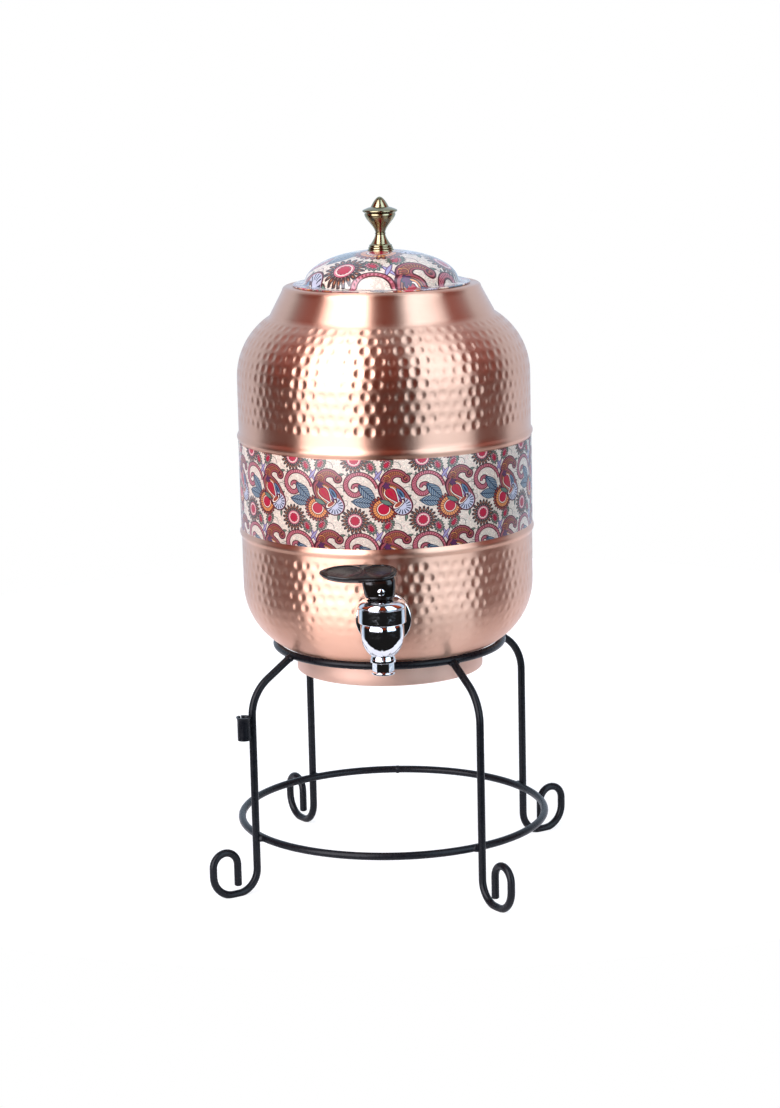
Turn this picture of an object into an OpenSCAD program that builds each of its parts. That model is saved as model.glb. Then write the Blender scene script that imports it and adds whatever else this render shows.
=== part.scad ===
// Hammered copper water dispenser on a welded rod stand, with a lever tap and a lift-off lid.
// Millimetres, +Z up, floor at z = 0. The tap looks along -Y. The tank's axis stands a little
// behind the origin, so that the origin is the middle of the whole object's footprint.

/* [Tank] */
// Outer diameter of the straight wall
body_d = 191; // [176:1:206]
// Thickness of the copper sheet
sheet_t = 1; // [0.8:0.1:1.4]
// Height of the straight wall between the two round ends
wall_h = 136; // [126:1:160]
// Radius of the round lower end
lower_round_r = 45.5; // [43:0.5:48]
// Radius of the shoulder
shoulder_r = 46.5; // [42:0.5:50]
// Diameter of the neck where it leaves the shoulder
neck_foot_d = 146.8; // [141:0.2:150]
// Diameter of the neck at its rim
neck_top_d = 129; // [124:0.5:134]
// Height of the neck
neck_h = 19.2; // [15:0.2:26]
// Radius of the rolled rim
rim_r = 2.5; // [1.8:0.1:3.2]
// Diameter of the mouth inside the rim
mouth_d = 104; // [102:0.5:108]
// Diameter of the foot ring
foot_d = 123; // [112:1:132]
// Height of the foot ring below the tank's bottom
foot_h = 12.7; // [9:0.1:18]

/* [Beads and band] */
// Height of the lower bead above the round lower end
lower_bead_up = 35.2; // [33:0.2:40]
// Distance between the two beads
bead_gap = 63; // [52:0.5:72]
// Height of a bead
bead_h = 5; // [4:0.1:6]
// How far a bead stands out of the wall
bead_proud = 1.2; // [0.8:0.1:1.8]
// Thickness of the printed wrap
band_t = 0.3; // [0.2:0.05:0.5]
// Bare strip between the wrap and each bead
band_margin = 0.6; // [0.4:0.1:2]
// Gap where the ends of the wrap meet
band_seam = 0.4; // [0.3:0.1:1]
// Angle of that seam from the tap
band_seam_turn = 48; // [30:1:150]
// Overlap of the two shells behind the wrap
lap_h = 10; // [6:0.5:14]

/* [Tap] */
// Height of the shank below the start of the straight wall
shank_down = 5.2; // [3:0.2:7]
// Distance from the tank's wall to the tap's stem
tap_out = 27; // [25:0.5:32]
// Diameter of the shank through the wall
shank_d = 16; // [14:0.5:18]
// Length of the shank inside the wall
shank_in = 19; // [17:0.5:24]
// Diameter of the waterway in the shank
waterway_d = 10; // [8:0.5:11]
// Diameter of the flange and of its washer
flange_d = 35; // [32:0.5:38]
// Thickness of the flange
flange_t = 3; // [2.5:0.1:4]
// Thickness of the outer washer at its thinnest
washer_t = 2; // [1.5:0.1:2.6]
// Diameter of the inner washer
inner_washer_d = 27; // [25:0.5:30]
// Distance of the nut's seat behind the wall's outside
nut_seat = 7; // [6:0.2:8]
// Thickness of the nut
nut_t = 8; // [6:0.2:9]
// Size of the nut across its flats
nut_flats = 24; // [22:0.5:27]
// Diameter of the tap's barrel
barrel_d = 29.7; // [28.5:0.1:31]
// Height of the barrel above the shank's axis
barrel_up = 13; // [12:0.2:15]
// Height of the barrel, from its top down to its rim
barrel_h = 9.8; // [9:0.2:11]
// Diameter at the top of the bowl
bowl_d = 27.8; // [27.6:0.1:28.8]
// Height of the bowl
bowl_h = 23.7; // [22.8:0.1:24.4]
// Radius of the bowl's side
bowl_round_r = 45; // [44:0.5:60]
// Diameter of the nozzle's collar
nozzle_collar_d = 16.2; // [15:0.1:17.5]
// Height of the nozzle's collar
nozzle_collar_h = 2.6; // [2:0.1:3.5]
// Diameter of the nozzle
nozzle_d = 13; // [12:0.1:14]
// Height of the nozzle below the bowl
nozzle_h = 9; // [7:0.2:14]
// Diameter of the nozzle's lip
lip_d = 14.7; // [14.2:0.1:15.5]
// Height of the nozzle's lip
lip_h = 1.6; // [1:0.1:2.2]
// Diameter of the outlet through the nozzle
outlet_d = 9; // [8:0.2:10]
// Diameter of the valve chamber
chamber_d = 22; // [21:0.1:22.4]
// Depth of the valve seat below the shank's axis
seat_down = 10; // [9.5:0.1:10.6]
// Height of the bonnet's sloped cap
bonnet_h = 5; // [4:0.2:7]
// Diameter of the bonnet's top
bonnet_top_d = 20.4; // [18:0.2:24]
// Length of the bonnet's threaded skirt
bonnet_skirt_h = 8; // [6:0.2:8.6]
// Inner diameter of the skirt
bonnet_skirt_bore = 17.2; // [16.8:0.1:18]
// Width of the rubber ring under the bonnet
bonnet_seal_w = 1.9; // [1.4:0.1:2.2]
// Thickness of that ring
bonnet_seal_t = 1.2; // [0.8:0.1:1.8]
// Diameter of the rubber valve plug
plug_d = 16; // [14:0.2:18]
// Thickness of the plug's disc
plug_t = 4; // [3:0.1:4.4]
// Diameter of the plug's socket boss
plug_boss_d = 11; // [9:0.2:13]
// Height of that boss
plug_boss_h = 3.6; // [3:0.1:4]

/* [Stem and lever] */
// Diameter of the stem
stem_d = 7; // [6:0.1:7.6]
// Diameter of the stem's end in the plug
spigot_d = 5; // [4:0.1:5.6]
// Diameter of the stem's spring collar
stem_collar_d = 16; // [15:0.1:16.4]
// Thickness of that collar
stem_collar_t = 1.6; // [1.2:0.1:2]
// Mean diameter of the return spring
spring_d = 12; // [11:0.1:13]
// Thickness of the spring wire
wire_d = 1.2; // [0.8:0.1:1.4]
// Number of turns of the spring
spring_turns = 5; // [3:1:5]
// Diameter of the lever's pin
pin_d = 4.6; // [4:0.1:5]
// Height of the pin above the bonnet
pin_up = 6; // [5.6:0.1:7]
// Diameter of the stem's eye
eye_d = 10; // [9:0.1:10.8]
// Width of the stem's eye
eye_w = 8; // [7.8:0.1:9]
// How far the pin's ends stand out of the lever
pin_proud = 0.4; // [0.2:0.1:1]
// Reach of the lever from the stem's axis to its tip
lever_l = 38; // [34:0.5:48]
// Width of the lever's paddle
lever_w = 22; // [18:0.5:24]
// Width of the lever's waist
lever_waist_w = 21; // [18:0.5:22]
// Thickness of the lever's plate
lever_t = 5.6; // [4.6:0.1:7]
// Height of the plate's underside above the pin
lever_up = 6.4; // [6.3:0.1:8]
// Tilt of the plate about its length, towards the front
lever_cant = 10.8; // [0:0.2:12]
// Diameter of the lever's block under the plate
block_top_d = 20.9; // [19:0.1:22]
// How far the plate's round head stands out around the block
head_proud = 0.6; // [0.5:0.1:1]
// Diameter of the lever's block at its foot
block_foot_d = 17.4; // [16.4:0.1:18.4]
// Depth of the dished thumb rests
dish_depth = 1.2; // [0.6:0.1:1.8]

/* [Stand] */
// Diameter of the stand's rod
rod_d = 5; // [4.4:0.1:6]
// Diameter of the upper ring, to the middle of its rod
upper_ring_d = 149.4; // [142:0.2:156]
// Height of the upper ring's rod
upper_ring_h = 154.8; // [148:0.2:180]
// Diameter of the lower ring, to the middle of its rod
lower_ring_d = 203; // [194:0.5:216]
// Height of the lower ring's rod
lower_ring_h = 36.5; // [34:0.5:46]
// Angle of the first leg from the tap
leg_turn = 34; // [28:1:40]
// Slope of a leg's top, from upright
leg_slope = 56; // [48:1:64]
// Radius of a leg's bend
leg_bend_r = 28; // [20:0.5:32]
// Radius of a foot's round sides
foot_round_r = 14.5; // [13:0.5:16]
// Length of a foot's straight underside
foot_flat = 3.5; // [2:0.5:6]
// Radius of the scroll over a foot
scroll_r = 9; // [8:0.1:9.6]
// Height of the straight outer side of a foot
scroll_side = 5.6; // [3:0.2:8]
// Length of the scroll's straight tail
scroll_tail = 14.5; // [11:0.5:15]
// Depth of the flat ground under each foot
foot_grind = 0.8; // [0.4:0.1:1.2]
// How deep one rod is notched into another at a weld
weld_sink = 0.4; // [0.2:0.1:0.8]
// Outer diameter of the hook socket
socket_d = 8.6; // [8:0.1:10]
// Bore of the hook socket
socket_bore = 6.2; // [5:0.1:6.8]
// Length of the hook socket
socket_h = 15.4; // [12:0.2:18]
// Height of the hook socket's foot above the lower ring
socket_up = 67.5; // [40:0.5:70]
// Opening along the side of the hook socket
socket_slit = 1; // [0.6:0.1:1.6]

/* [Lid] */
// Diameter of the lid's flange
lid_flange_d = 115.2; // [112:0.2:118]
// Thickness of the lid's flange
lid_flange_t = 1.2; // [1:0.1:1.8]
// Diameter of the lid's dome
dome_d = 100; // [98:0.5:102]
// Height of the lid's dome above its flange
dome_h = 21; // [16:0.5:28]
// Thickness of the lid's sheet
lid_sheet_t = 0.8; // [0.6:0.1:1.1]
// Outer diameter of the sleeve under the lid
sleeve_d = 98; // [95:0.5:99]
// Height of the sleeve under the lid
sleeve_h = 12; // [8:0.5:16]
// Height of the knob
knob_h = 34; // [28:0.5:42]
// Widest diameter of the knob
knob_d = 22.6; // [20:0.2:26]
// Diameter of the knob's waist
knob_waist_d = 6.4; // [6.2:0.1:8]
// Diameter of the knob's base
knob_base_d = 17.4; // [16:0.2:20]
// Height of the knob's waist above its base
knob_waist_h = 10.5; // [10:0.1:12]
// Height of the knob's widest part above its base
knob_wide_h = 25; // [23:0.2:26]
// Thickness of the knob's rim
knob_rim_t = 1.8; // [1.2:0.1:2.4]
// Diameter of the knob's pointed cap
knob_cap_d = 17; // [14:0.2:19]
// Thickness of the knob's base
knob_base_t = 1.6; // [1:0.1:2.4]
// Diameter of the knob's screw
screw_d = 4; // [3:0.1:4.4]
// Length of the screw's thread inside the knob
screw_in = 8; // [6:0.5:9]
// Diameter of the screw's head
screw_head_d = 8; // [7:0.1:9]
// Thickness of the screw's head
screw_head_t = 2.6; // [2:0.1:3.2]
// Diameter of the washer under the screw's head
knob_washer_d = 14; // [12:0.2:18]
// Thickness of that washer
knob_washer_t = 1.2; // [0.8:0.1:1.6]

/* [Fits] */
// Room between the tank and the stand's ring
seat_gap = 0.3; // [0.3:0.05:0.5]
// Room between the lid's flange and the rim
lid_gap = 0.1; // [0.1:0.05:0.4]
// Radial room of turning and sliding fits
running_gap = 0.06; // [0.03:0.01:0.09]
// Room between pieces that are fixed together
snug = 0.05; // [0.03:0.01:0.08]
// Radial room of the shank in the wall
shank_gap = 0.3; // [0.2:0.05:0.5]
// Room between the lever's foot and the bonnet
heel_gap = 0.3; // [0.25:0.05:0.5]
// Room beside the stem's eye in the lever
eye_gap = 0.4; // [0.3:0.05:0.5]

/* [Hidden] */
$fn = 96;
eps = 0.01;
body_r = body_d / 2;
rod_r = rod_d / 2;
lower_ring_r = lower_ring_d / 2;
upper_ring_r = upper_ring_d / 2;

// Heights of the tank, from the ring that carries it
lower_axis_r = body_r - lower_round_r;
wall_z = upper_ring_h
    + sqrt(pow(lower_round_r + seat_gap + rod_r, 2) - pow(upper_ring_r - lower_axis_r, 2));
bottom_z = wall_z - lower_round_r;
foot_z = bottom_z - foot_h;
shoulder_axis_r = body_r - shoulder_r;
shoulder_z = wall_z + wall_h;
neck_z = shoulder_z + sqrt(pow(shoulder_r, 2) - pow(neck_foot_d / 2 - shoulder_axis_r, 2));
rim_z = neck_z + neck_h;
lower_bead_z = wall_z + lower_bead_up;
upper_bead_z = lower_bead_z + bead_gap;
bead_round_r = (pow(bead_h / 2, 2) + pow(bead_proud, 2)) / (2 * bead_proud);
joint_z = (lower_bead_z + upper_bead_z) / 2;

// The tap, from its stem's axis and its shank's axis
tap_z = wall_z - shank_down;
stem_r = body_r + tap_out;
flange_back = tap_out - washer_t;
barrel_foot = barrel_up - barrel_h;
bowl_foot = barrel_foot - bowl_h;
nozzle_foot = bowl_foot - nozzle_h;
bonnet_top = barrel_up + bonnet_h;
bonnet_roof = barrel_up - bonnet_seal_t;
seal_bore_d = chamber_d + 2 * bonnet_seal_w;
plug_foot = -seat_down + lid_gap;
plug_top = plug_foot + plug_t + plug_boss_h;
stem_collar_top = plug_top + lid_gap + stem_collar_t;
spring_foot = stem_collar_top + wire_d / 2 + snug;
spring_top = bonnet_roof - wire_d / 2 - snug;
pin_z = bonnet_top + pin_up;
plate_z = pin_z + lever_up;
block_foot_z = bonnet_top + heel_gap;
block_slope = (block_top_d - block_foot_d) / (plate_z - block_foot_z);
pin_l = block_foot_d + block_slope * (pin_z - block_foot_z) + 2 * pin_proud;
paddle_x = lever_l - lever_w / 2;
dish_d = lever_w - 4;
dish_ball_r = (pow(dish_d / 2, 2) + pow(dish_depth, 2)) / (2 * dish_depth);

// The stand's legs, in the upright plane through the tank's axis
leg_r = lower_ring_r + rod_d - weld_sink;
bend_axis_r = leg_r - leg_bend_r;
bend_top_r = bend_axis_r + leg_bend_r * cos(leg_slope);
leg_top_l = (bend_top_r - upper_ring_r) / sin(leg_slope);
bend_z = upper_ring_h - leg_top_l * cos(leg_slope) - leg_bend_r * sin(leg_slope);
foot_axis_z = rod_r - foot_grind;
foot_round_z = foot_axis_z + foot_round_r;
foot_out_r = leg_r + 2 * foot_round_r + foot_flat;
scroll_z = foot_round_z + scroll_side;
socket_r = leg_r + rod_r + socket_d / 2 - weld_sink;
socket_z = lower_ring_h + socket_up;
leg_turns = [for (i = [0:3]) leg_turn + 90 * i];

// The lid and its knob
lid_z = rim_z + lid_gap;
dome_z = lid_z + lid_flange_t;
dome_top_z = dome_z + dome_h;
dome_steps = 14;
knob_steps = 6;
sleeve_t = lid_sheet_t;

// The whole object's footprint, whose middle is the origin
front_reach = stem_r + barrel_d / 2;
rear_reach = foot_out_r * cos(leg_turn) + rod_r;
axis_y = (front_reach - rear_reach) / 2;

copper = [0.80, 0.50, 0.38];
black_steel = [0.07, 0.07, 0.08];
chrome = [0.78, 0.79, 0.80];
brass = [0.78, 0.66, 0.40];
black_plastic = [0.09, 0.07, 0.07];
black_rubber = [0.05, 0.05, 0.05];
print_cream = [0.88, 0.78, 0.68];
steel = [0.62, 0.63, 0.64];

// Stands its children on the tank's axis
module on_axis() {
    translate([0, axis_y, 0]) children();
}

// Puts its children at the tap: stem's axis along Z, shank towards +Y
module at_tap() {
    on_axis() translate([0, -stem_r, tap_z]) children();
}

// Lays a cylinder along +Y from the children's origin
module along_y(d, h) {
    rotate([-90, 0, 0]) cylinder(d = d, h = h);
}

// A ring of round rod around the tank's axis
module rod_ring(ring_r, z, rod) {
    translate([0, 0, z]) rotate_extrude() translate([ring_r, 0]) circle(r = rod);
}

// Half section of the tank's outer form, or of the same form set in by inset
module tank_section(inset) {
    neck_side = (neck_foot_d - neck_top_d) / 2 / neck_h;
    neck_inset = inset * sqrt(1 + pow(neck_side, 2));
    top_r = neck_top_d / 2 - inset;
    roll = rim_r - inset;
    translate([lower_axis_r, wall_z]) circle(r = lower_round_r - inset);
    translate([shoulder_axis_r, shoulder_z]) circle(r = shoulder_r - inset);
    translate([0, bottom_z + inset]) square([lower_axis_r, shoulder_z - bottom_z]);
    translate([0, wall_z]) square([body_r - inset, wall_h]);
    polygon([
        [0, shoulder_z], [neck_foot_d / 2 - neck_inset, shoulder_z], [neck_foot_d / 2 - neck_inset, neck_z],
        [top_r, rim_z - rim_r], [top_r - roll, rim_z - inset], [0, rim_z - inset]
    ]);
    translate([top_r - roll, rim_z - rim_r]) circle(r = roll);
}

// The tank's outer form as one solid, or its inside
module tank_form(inset) {
    rotate_extrude($fn = 360) intersection() {
        tank_section(inset);
        square([body_r, rim_z]);
    }
}

// Half section of a bead pressed out of the wall
module bead_section(z) {
    intersection() {
        translate([body_r + bead_proud - bead_round_r, z]) circle(r = bead_round_r);
        translate([body_r - sheet_t, z - bead_h]) square([sheet_t + bead_proud, 2 * bead_h]);
    }
}

// Half section of the tank's sheet between two heights
module wall_section(low, high) {
    intersection() {
        difference() {
            tank_section(0);
            tank_section(sheet_t);
        }
        translate([0, low]) square([body_r, high - low]);
    }
}

module upper_ring() {
    color(black_steel) on_axis() rod_ring(upper_ring_r, upper_ring_h, rod_r);
}

module lower_ring() {
    color(black_steel) on_axis() difference() {
        rod_ring(lower_ring_r, lower_ring_h, rod_r);
        for (turn = leg_turns) rotate([0, 0, turn - 90])
            translate([leg_r, 0, lower_ring_h - rod_d]) cylinder(r = rod_r + snug, h = 2 * rod_d);
    }
}

// A bent stretch of rod in the XZ plane, from one angle to another about a point
module rod_bend(x, z, bend_r, from, to) {
    translate([x, 0, z]) rotate([90, 0, 0]) rotate([0, 0, from])
        rotate_extrude(angle = to - from) translate([bend_r, 0]) circle(r = rod_r);
}

// A straight upright stretch of rod in the XZ plane
module rod_up(x, low, high) {
    translate([x, 0, low]) cylinder(r = rod_r, h = high - low);
}

// A leg from the upper ring to the tail of its scroll, along +X
module leg_path() {
    rod_bend(bend_axis_r, bend_z, leg_bend_r, 0, leg_slope);
    // The straight top is a hair thinner than the bend and runs a little into it
    translate([bend_axis_r, 0, bend_z]) rotate([90, 0, 0]) rotate([0, 0, leg_slope])
        translate([leg_bend_r, -rod_r / 2, 0]) along_y(rod_d - 2 * snug, leg_top_l + rod_r / 2);
    rod_up(leg_r, foot_round_z, bend_z);
    rod_bend(leg_r + foot_round_r, foot_round_z, foot_round_r, 180, 270);
    translate([leg_r + foot_round_r, 0, foot_axis_z]) rotate([0, 90, 0]) cylinder(r = rod_r, h = foot_flat);
    rod_bend(foot_out_r - foot_round_r, foot_round_z, foot_round_r, 270, 360);
    rod_up(foot_out_r, foot_round_z, scroll_z);
    rod_bend(foot_out_r - scroll_r, scroll_z, scroll_r, 0, 180);
    rod_up(foot_out_r - 2 * scroll_r, scroll_z - scroll_tail, scroll_z);
}

// A leg coped to the upper ring and ground flat under its foot
module leg(turn) {
    color(black_steel) on_axis() rotate([0, 0, turn - 90]) difference() {
        leg_path();
        rod_ring(upper_ring_r, upper_ring_h, rod_r + snug);
        translate([leg_r, -rod_d, -rod_d]) cube([foot_out_r - leg_r, 2 * rod_d, rod_d]);
    }
}

module leg_front_right() { leg(leg_turns[0]); }
module leg_rear_right() { leg(leg_turns[1]); }
module leg_rear_left() { leg(leg_turns[2]); }
module leg_front_left() { leg(leg_turns[3]); }

// Rolled sheet sleeve welded to the outside of the front left leg, open along one side
module hook_socket() {
    color(black_steel) on_axis() rotate([0, 0, leg_turns[3] - 90]) difference() {
        translate([socket_r, 0, socket_z]) cylinder(d = socket_d, h = socket_h);
        translate([socket_r, 0, socket_z - 1]) cylinder(d = socket_bore, h = socket_h + 2);
        translate([socket_r, 0, socket_z - 1]) rotate([0, 0, -90])
            translate([0, -socket_slit / 2, 0]) cube([socket_d, socket_slit, socket_h + 2]);
        translate([leg_r, 0, socket_z - 1]) cylinder(r = rod_r + snug, h = socket_h + 2);
    }
}

// Lower half of the tank: round bottom, wall and lower bead, stepped in to enter the upper half
module lower_shell() {
    lap_r = body_r - sheet_t - snug;
    color(copper) on_axis() difference() {
        rotate_extrude() {
            wall_section(bottom_z, joint_z);
            bead_section(lower_bead_z);
            translate([lap_r - sheet_t, joint_z - lap_h / 2]) square([sheet_t, lap_h * 1.5]);
            translate([lap_r - sheet_t, joint_z - lap_h / 2]) square([2 * sheet_t, lap_h / 2]);
        }
        translate([0, 0, tap_z]) rotate([90, 0, 0]) cylinder(d = shank_d + 2 * shank_gap, h = body_d);
    }
}

// Ring soldered under the tank
module foot_ring() {
    color(copper) on_axis() difference() {
        translate([0, 0, foot_z]) cylinder(d = foot_d, h = foot_h + lower_round_r);
        translate([0, 0, foot_z - 1]) cylinder(d = foot_d - 2 * sheet_t, h = foot_h + lower_round_r);
        tank_form(-snug);
    }
}

// Upper half of the tank: wall, upper bead, shoulder, neck and rolled rim
module upper_shell() {
    color(copper) on_axis() rotate_extrude() difference() {
        union() {
            wall_section(joint_z + snug, rim_z);
            bead_section(upper_bead_z);
        }
        translate([0, rim_z - neck_h]) square([mouth_d / 2, 2 * neck_h]);
    }
}

// Printed wrap around the joint of the two shells
module printed_band() {
    half_h = (bead_gap - bead_h) / 2 - band_margin;
    seam_angle = band_seam / body_r * 180 / PI;
    color(print_cream) on_axis() rotate([0, 0, band_seam_turn - 90 + seam_angle / 2])
        rotate_extrude(angle = 360 - seam_angle)
            translate([body_r + snug, joint_z - half_h]) square([band_t, 2 * half_h]);
}

// Chromed casting: barrel, bowl, nozzle, and a flanged shank through the tank's wall
module tap_body() {
    neck_d = shank_d + 4;
    color(chrome) at_tap() difference() {
        union() {
            translate([0, 0, barrel_foot]) cylinder(d = barrel_d, h = barrel_h);
            rotate_extrude() intersection() {
                translate([bowl_d / 2 - bowl_round_r, barrel_foot]) circle(r = bowl_round_r);
                translate([0, bowl_foot]) square([bowl_d / 2, bowl_h]);
            }
            translate([0, 0, bowl_foot - nozzle_collar_h / 2]) cylinder(d = nozzle_collar_d, h = nozzle_collar_h);
            translate([0, 0, nozzle_foot]) cylinder(d = nozzle_d, h = nozzle_h);
            translate([0, 0, nozzle_foot]) cylinder(d = lip_d, h = lip_h);
            along_y(neck_d, flange_back);
            translate([0, flange_back - flange_t, 0]) along_y(flange_d, flange_t);
            along_y(shank_d, tap_out + shank_in);
        }
        translate([0, 0, -seat_down]) cylinder(d = chamber_d, h = seat_down + barrel_up + 1);
        translate([0, 0, bonnet_roof]) cylinder(d = seal_bore_d, h = bonnet_seal_t + 1);
        translate([0, 0, nozzle_foot - 1]) cylinder(d = outlet_d, h = nozzle_h + bowl_h);
        along_y(waterway_d, tap_out + shank_in + 1);
    }
}

// Moulded rubber washer, flat to the flange and curved to the tank
module outer_washer() {
    color(black_rubber) difference() {
        at_tap() translate([0, flange_back, 0]) along_y(flange_d, tap_out);
        at_tap() along_y(shank_d + 2 * snug, 3 * tap_out);
        on_axis() tank_form(-snug);
    }
}

// Rubber washer inside the tank, curved to the wall and flat to the nut
module inner_washer() {
    color(black_rubber) difference() {
        intersection() {
            at_tap() along_y(inner_washer_d, tap_out + nut_seat);
            on_axis() tank_form(sheet_t + snug);
        }
        at_tap() along_y(shank_d + 2 * snug, 3 * tap_out);
    }
}

// Six-sided back nut on the shank
module tap_nut() {
    color(brass) at_tap() translate([0, tap_out + nut_seat, 0]) difference() {
        rotate([-90, 30, 0]) cylinder(d = nut_flats / cos(30), h = nut_t, $fn = 6);
        translate([0, -1, 0]) along_y(shank_d + 2 * snug, nut_t + 2);
    }
}

// Rubber ring between the barrel's top and the bonnet
module bonnet_seal() {
    color(black_rubber) at_tap() translate([0, 0, bonnet_roof]) difference() {
        cylinder(d = seal_bore_d - 2 * snug, h = bonnet_seal_t);
        translate([0, 0, -1]) cylinder(d = chamber_d, h = bonnet_seal_t + 2);
    }
}

// Chromed cap screwed into the barrel, which guides the stem
module tap_bonnet() {
    color(chrome) at_tap() difference() {
        union() {
            translate([0, 0, barrel_up]) cylinder(d1 = barrel_d, d2 = bonnet_top_d, h = bonnet_h);
            translate([0, 0, barrel_up - bonnet_skirt_h])
                cylinder(d = chamber_d - 2 * snug, h = bonnet_skirt_h);
        }
        translate([0, 0, barrel_up - bonnet_skirt_h - 1])
            cylinder(d = bonnet_skirt_bore, h = bonnet_roof - barrel_up + bonnet_skirt_h + 1);
        cylinder(d = stem_d + 2 * running_gap, h = bonnet_top + 1);
    }
}

// Coil spring from the bonnet's roof down to the stem's collar
module return_spring() {
    sides = 6;
    turn_rings = 10;
    rings = spring_turns * turn_rings;
    pitch_slope = atan((spring_top - spring_foot) / spring_turns / (PI * spring_d));
    // A point of the wire's skin: ring i along the helix, side j around the wire
    function skin(i, j) = let (
        turn = 360 * i / turn_rings,
        side = 360 * j / sides,
        out = spring_d / 2 + wire_d / 2 * cos(side),
        across = wire_d / 2 * sin(side),
        rise = spring_foot + (spring_top - spring_foot) * i / rings
    ) [
        out * cos(turn) + across * sin(pitch_slope) * sin(turn),
        out * sin(turn) - across * sin(pitch_slope) * cos(turn),
        rise + across * cos(pitch_slope)
    ];
    points = [for (i = [0:rings], j = [0:sides - 1]) skin(i, j)];
    walls = [for (i = [0:rings - 1], j = [0:sides - 1], k = [0, 1]) let (
        a = i * sides + j,
        b = i * sides + (j + 1) % sides
    ) k == 0 ? [a, a + sides, b] : [b, a + sides, b + sides]];
    first_cap = [for (j = [1:sides - 2]) [0, j, j + 1]];
    last = rings * sides;
    last_cap = [for (j = [1:sides - 2]) [last, last + j + 1, last + j]];
    color(steel) at_tap() polyhedron(points, concat(walls, first_cap, last_cap));
}

// Rubber plug that closes the outlet, with a socket for the stem's end
module valve_plug() {
    color(black_rubber) at_tap() difference() {
        union() {
            translate([0, 0, plug_foot]) cylinder(d = plug_d, h = plug_t);
            translate([0, 0, plug_foot]) cylinder(d = plug_boss_d, h = plug_t + plug_boss_h);
        }
        translate([0, 0, plug_foot + plug_t]) cylinder(d = spigot_d + 2 * running_gap, h = plug_boss_h + 1);
    }
}

// Turned stem: spigot in the plug, spring collar, rod through the bonnet, and an eye for the pin
module tap_stem() {
    color(chrome) at_tap() difference() {
        union() {
            translate([0, 0, plug_foot + plug_t + lid_gap]) cylinder(d = spigot_d, h = plug_boss_h + lid_gap);
            translate([0, 0, plug_top + lid_gap]) cylinder(d = stem_collar_d, h = stem_collar_t);
            translate([0, 0, plug_top + lid_gap]) cylinder(d = stem_d, h = pin_z - plug_top);
            translate([0, -eye_w / 2, pin_z]) along_y(eye_d, eye_w);
        }
        translate([0, -eye_d, pin_z]) along_y(pin_d + 2 * snug, 2 * eye_d);
    }
}

// Pin through the stem's eye and both cheeks of the lever
module lever_pin() {
    color(chrome) at_tap() translate([0, -pin_l / 2, pin_z]) along_y(pin_d, pin_l);
}

// Tilts a piece about the length of the lever's plate
module canted() {
    plate_middle = plate_z + lever_t / 2;
    translate([0, 0, plate_middle]) rotate([lever_cant, 0, 0]) translate([0, 0, -plate_middle]) children();
}

// Black moulded lever: paddle, tapered block, and a slot for the stem's eye, open under the paddle
module tap_lever() {
    slot_w = eye_w + 2 * eye_gap;
    slot_top = pin_z + eye_d / 2 + eye_gap;
    color(black_plastic) at_tap() difference() {
        union() {
            translate([0, 0, block_foot_z])
                cylinder(d1 = block_foot_d, d2 = block_top_d, h = plate_z - block_foot_z);
            translate([0, 0, plate_z - 1]) cylinder(d = block_top_d - 1, h = 1 + lever_t / 2);
            canted() translate([0, 0, plate_z]) linear_extrude(lever_t) {
                circle(d = block_top_d + 2 * head_proud);
                translate([-paddle_x, 0]) circle(d = lever_w);
                translate([-paddle_x, -lever_waist_w / 2]) square([paddle_x, lever_waist_w]);
            }
        }
        translate([-lever_l, -slot_w / 2, block_foot_z - 1])
            cube([lever_l + eye_d / 2 + eye_gap, slot_w, slot_top - block_foot_z + 1]);
        translate([0, -lever_l, pin_z]) along_y(pin_d + 2 * running_gap, 2 * lever_l);
        for (x = [0, -paddle_x])
            canted() translate([x, 0, plate_z + lever_t + dish_ball_r - dish_depth]) sphere(r = dish_ball_r);
    }
}

// Quarter of an ellipse from its rim to its top
function dome_curve(a, b, z) = [for (i = [0:dome_steps])
    [a * cos(90 * i / dome_steps), z + b * sin(90 * i / dome_steps)]];

// Half section of the space under the dome's skin, set in by inset
module dome_section(inset) {
    polygon(concat([[0, lid_z - 1], [dome_d / 2 - inset, lid_z - 1]],
        dome_curve(dome_d / 2 - inset, dome_h - inset, dome_z)));
}

// Domed copper lid with a flat flange that rests on the tank's rim
module lid_dome() {
    color(print_cream) on_axis() difference() {
        rotate_extrude() difference() {
            union() {
                dome_section(0);
                translate([0, lid_z]) square([lid_flange_d / 2, lid_flange_t]);
            }
            dome_section(lid_sheet_t);
            translate([0, lid_z - 2]) square([dome_d / 2, 2]);
        }
        translate([0, 0, dome_z]) cylinder(d = screw_d + 2 * snug, h = 2 * dome_h);
    }
}

// Copper sleeve under the lid that keeps it in the mouth
module lid_sleeve() {
    color(copper) on_axis() translate([0, 0, lid_z - sleeve_h]) difference() {
        cylinder(d = sleeve_d, h = sleeve_h);
        translate([0, 0, -1]) cylinder(d = sleeve_d - 2 * sleeve_t, h = sleeve_h + 2);
    }
}

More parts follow.
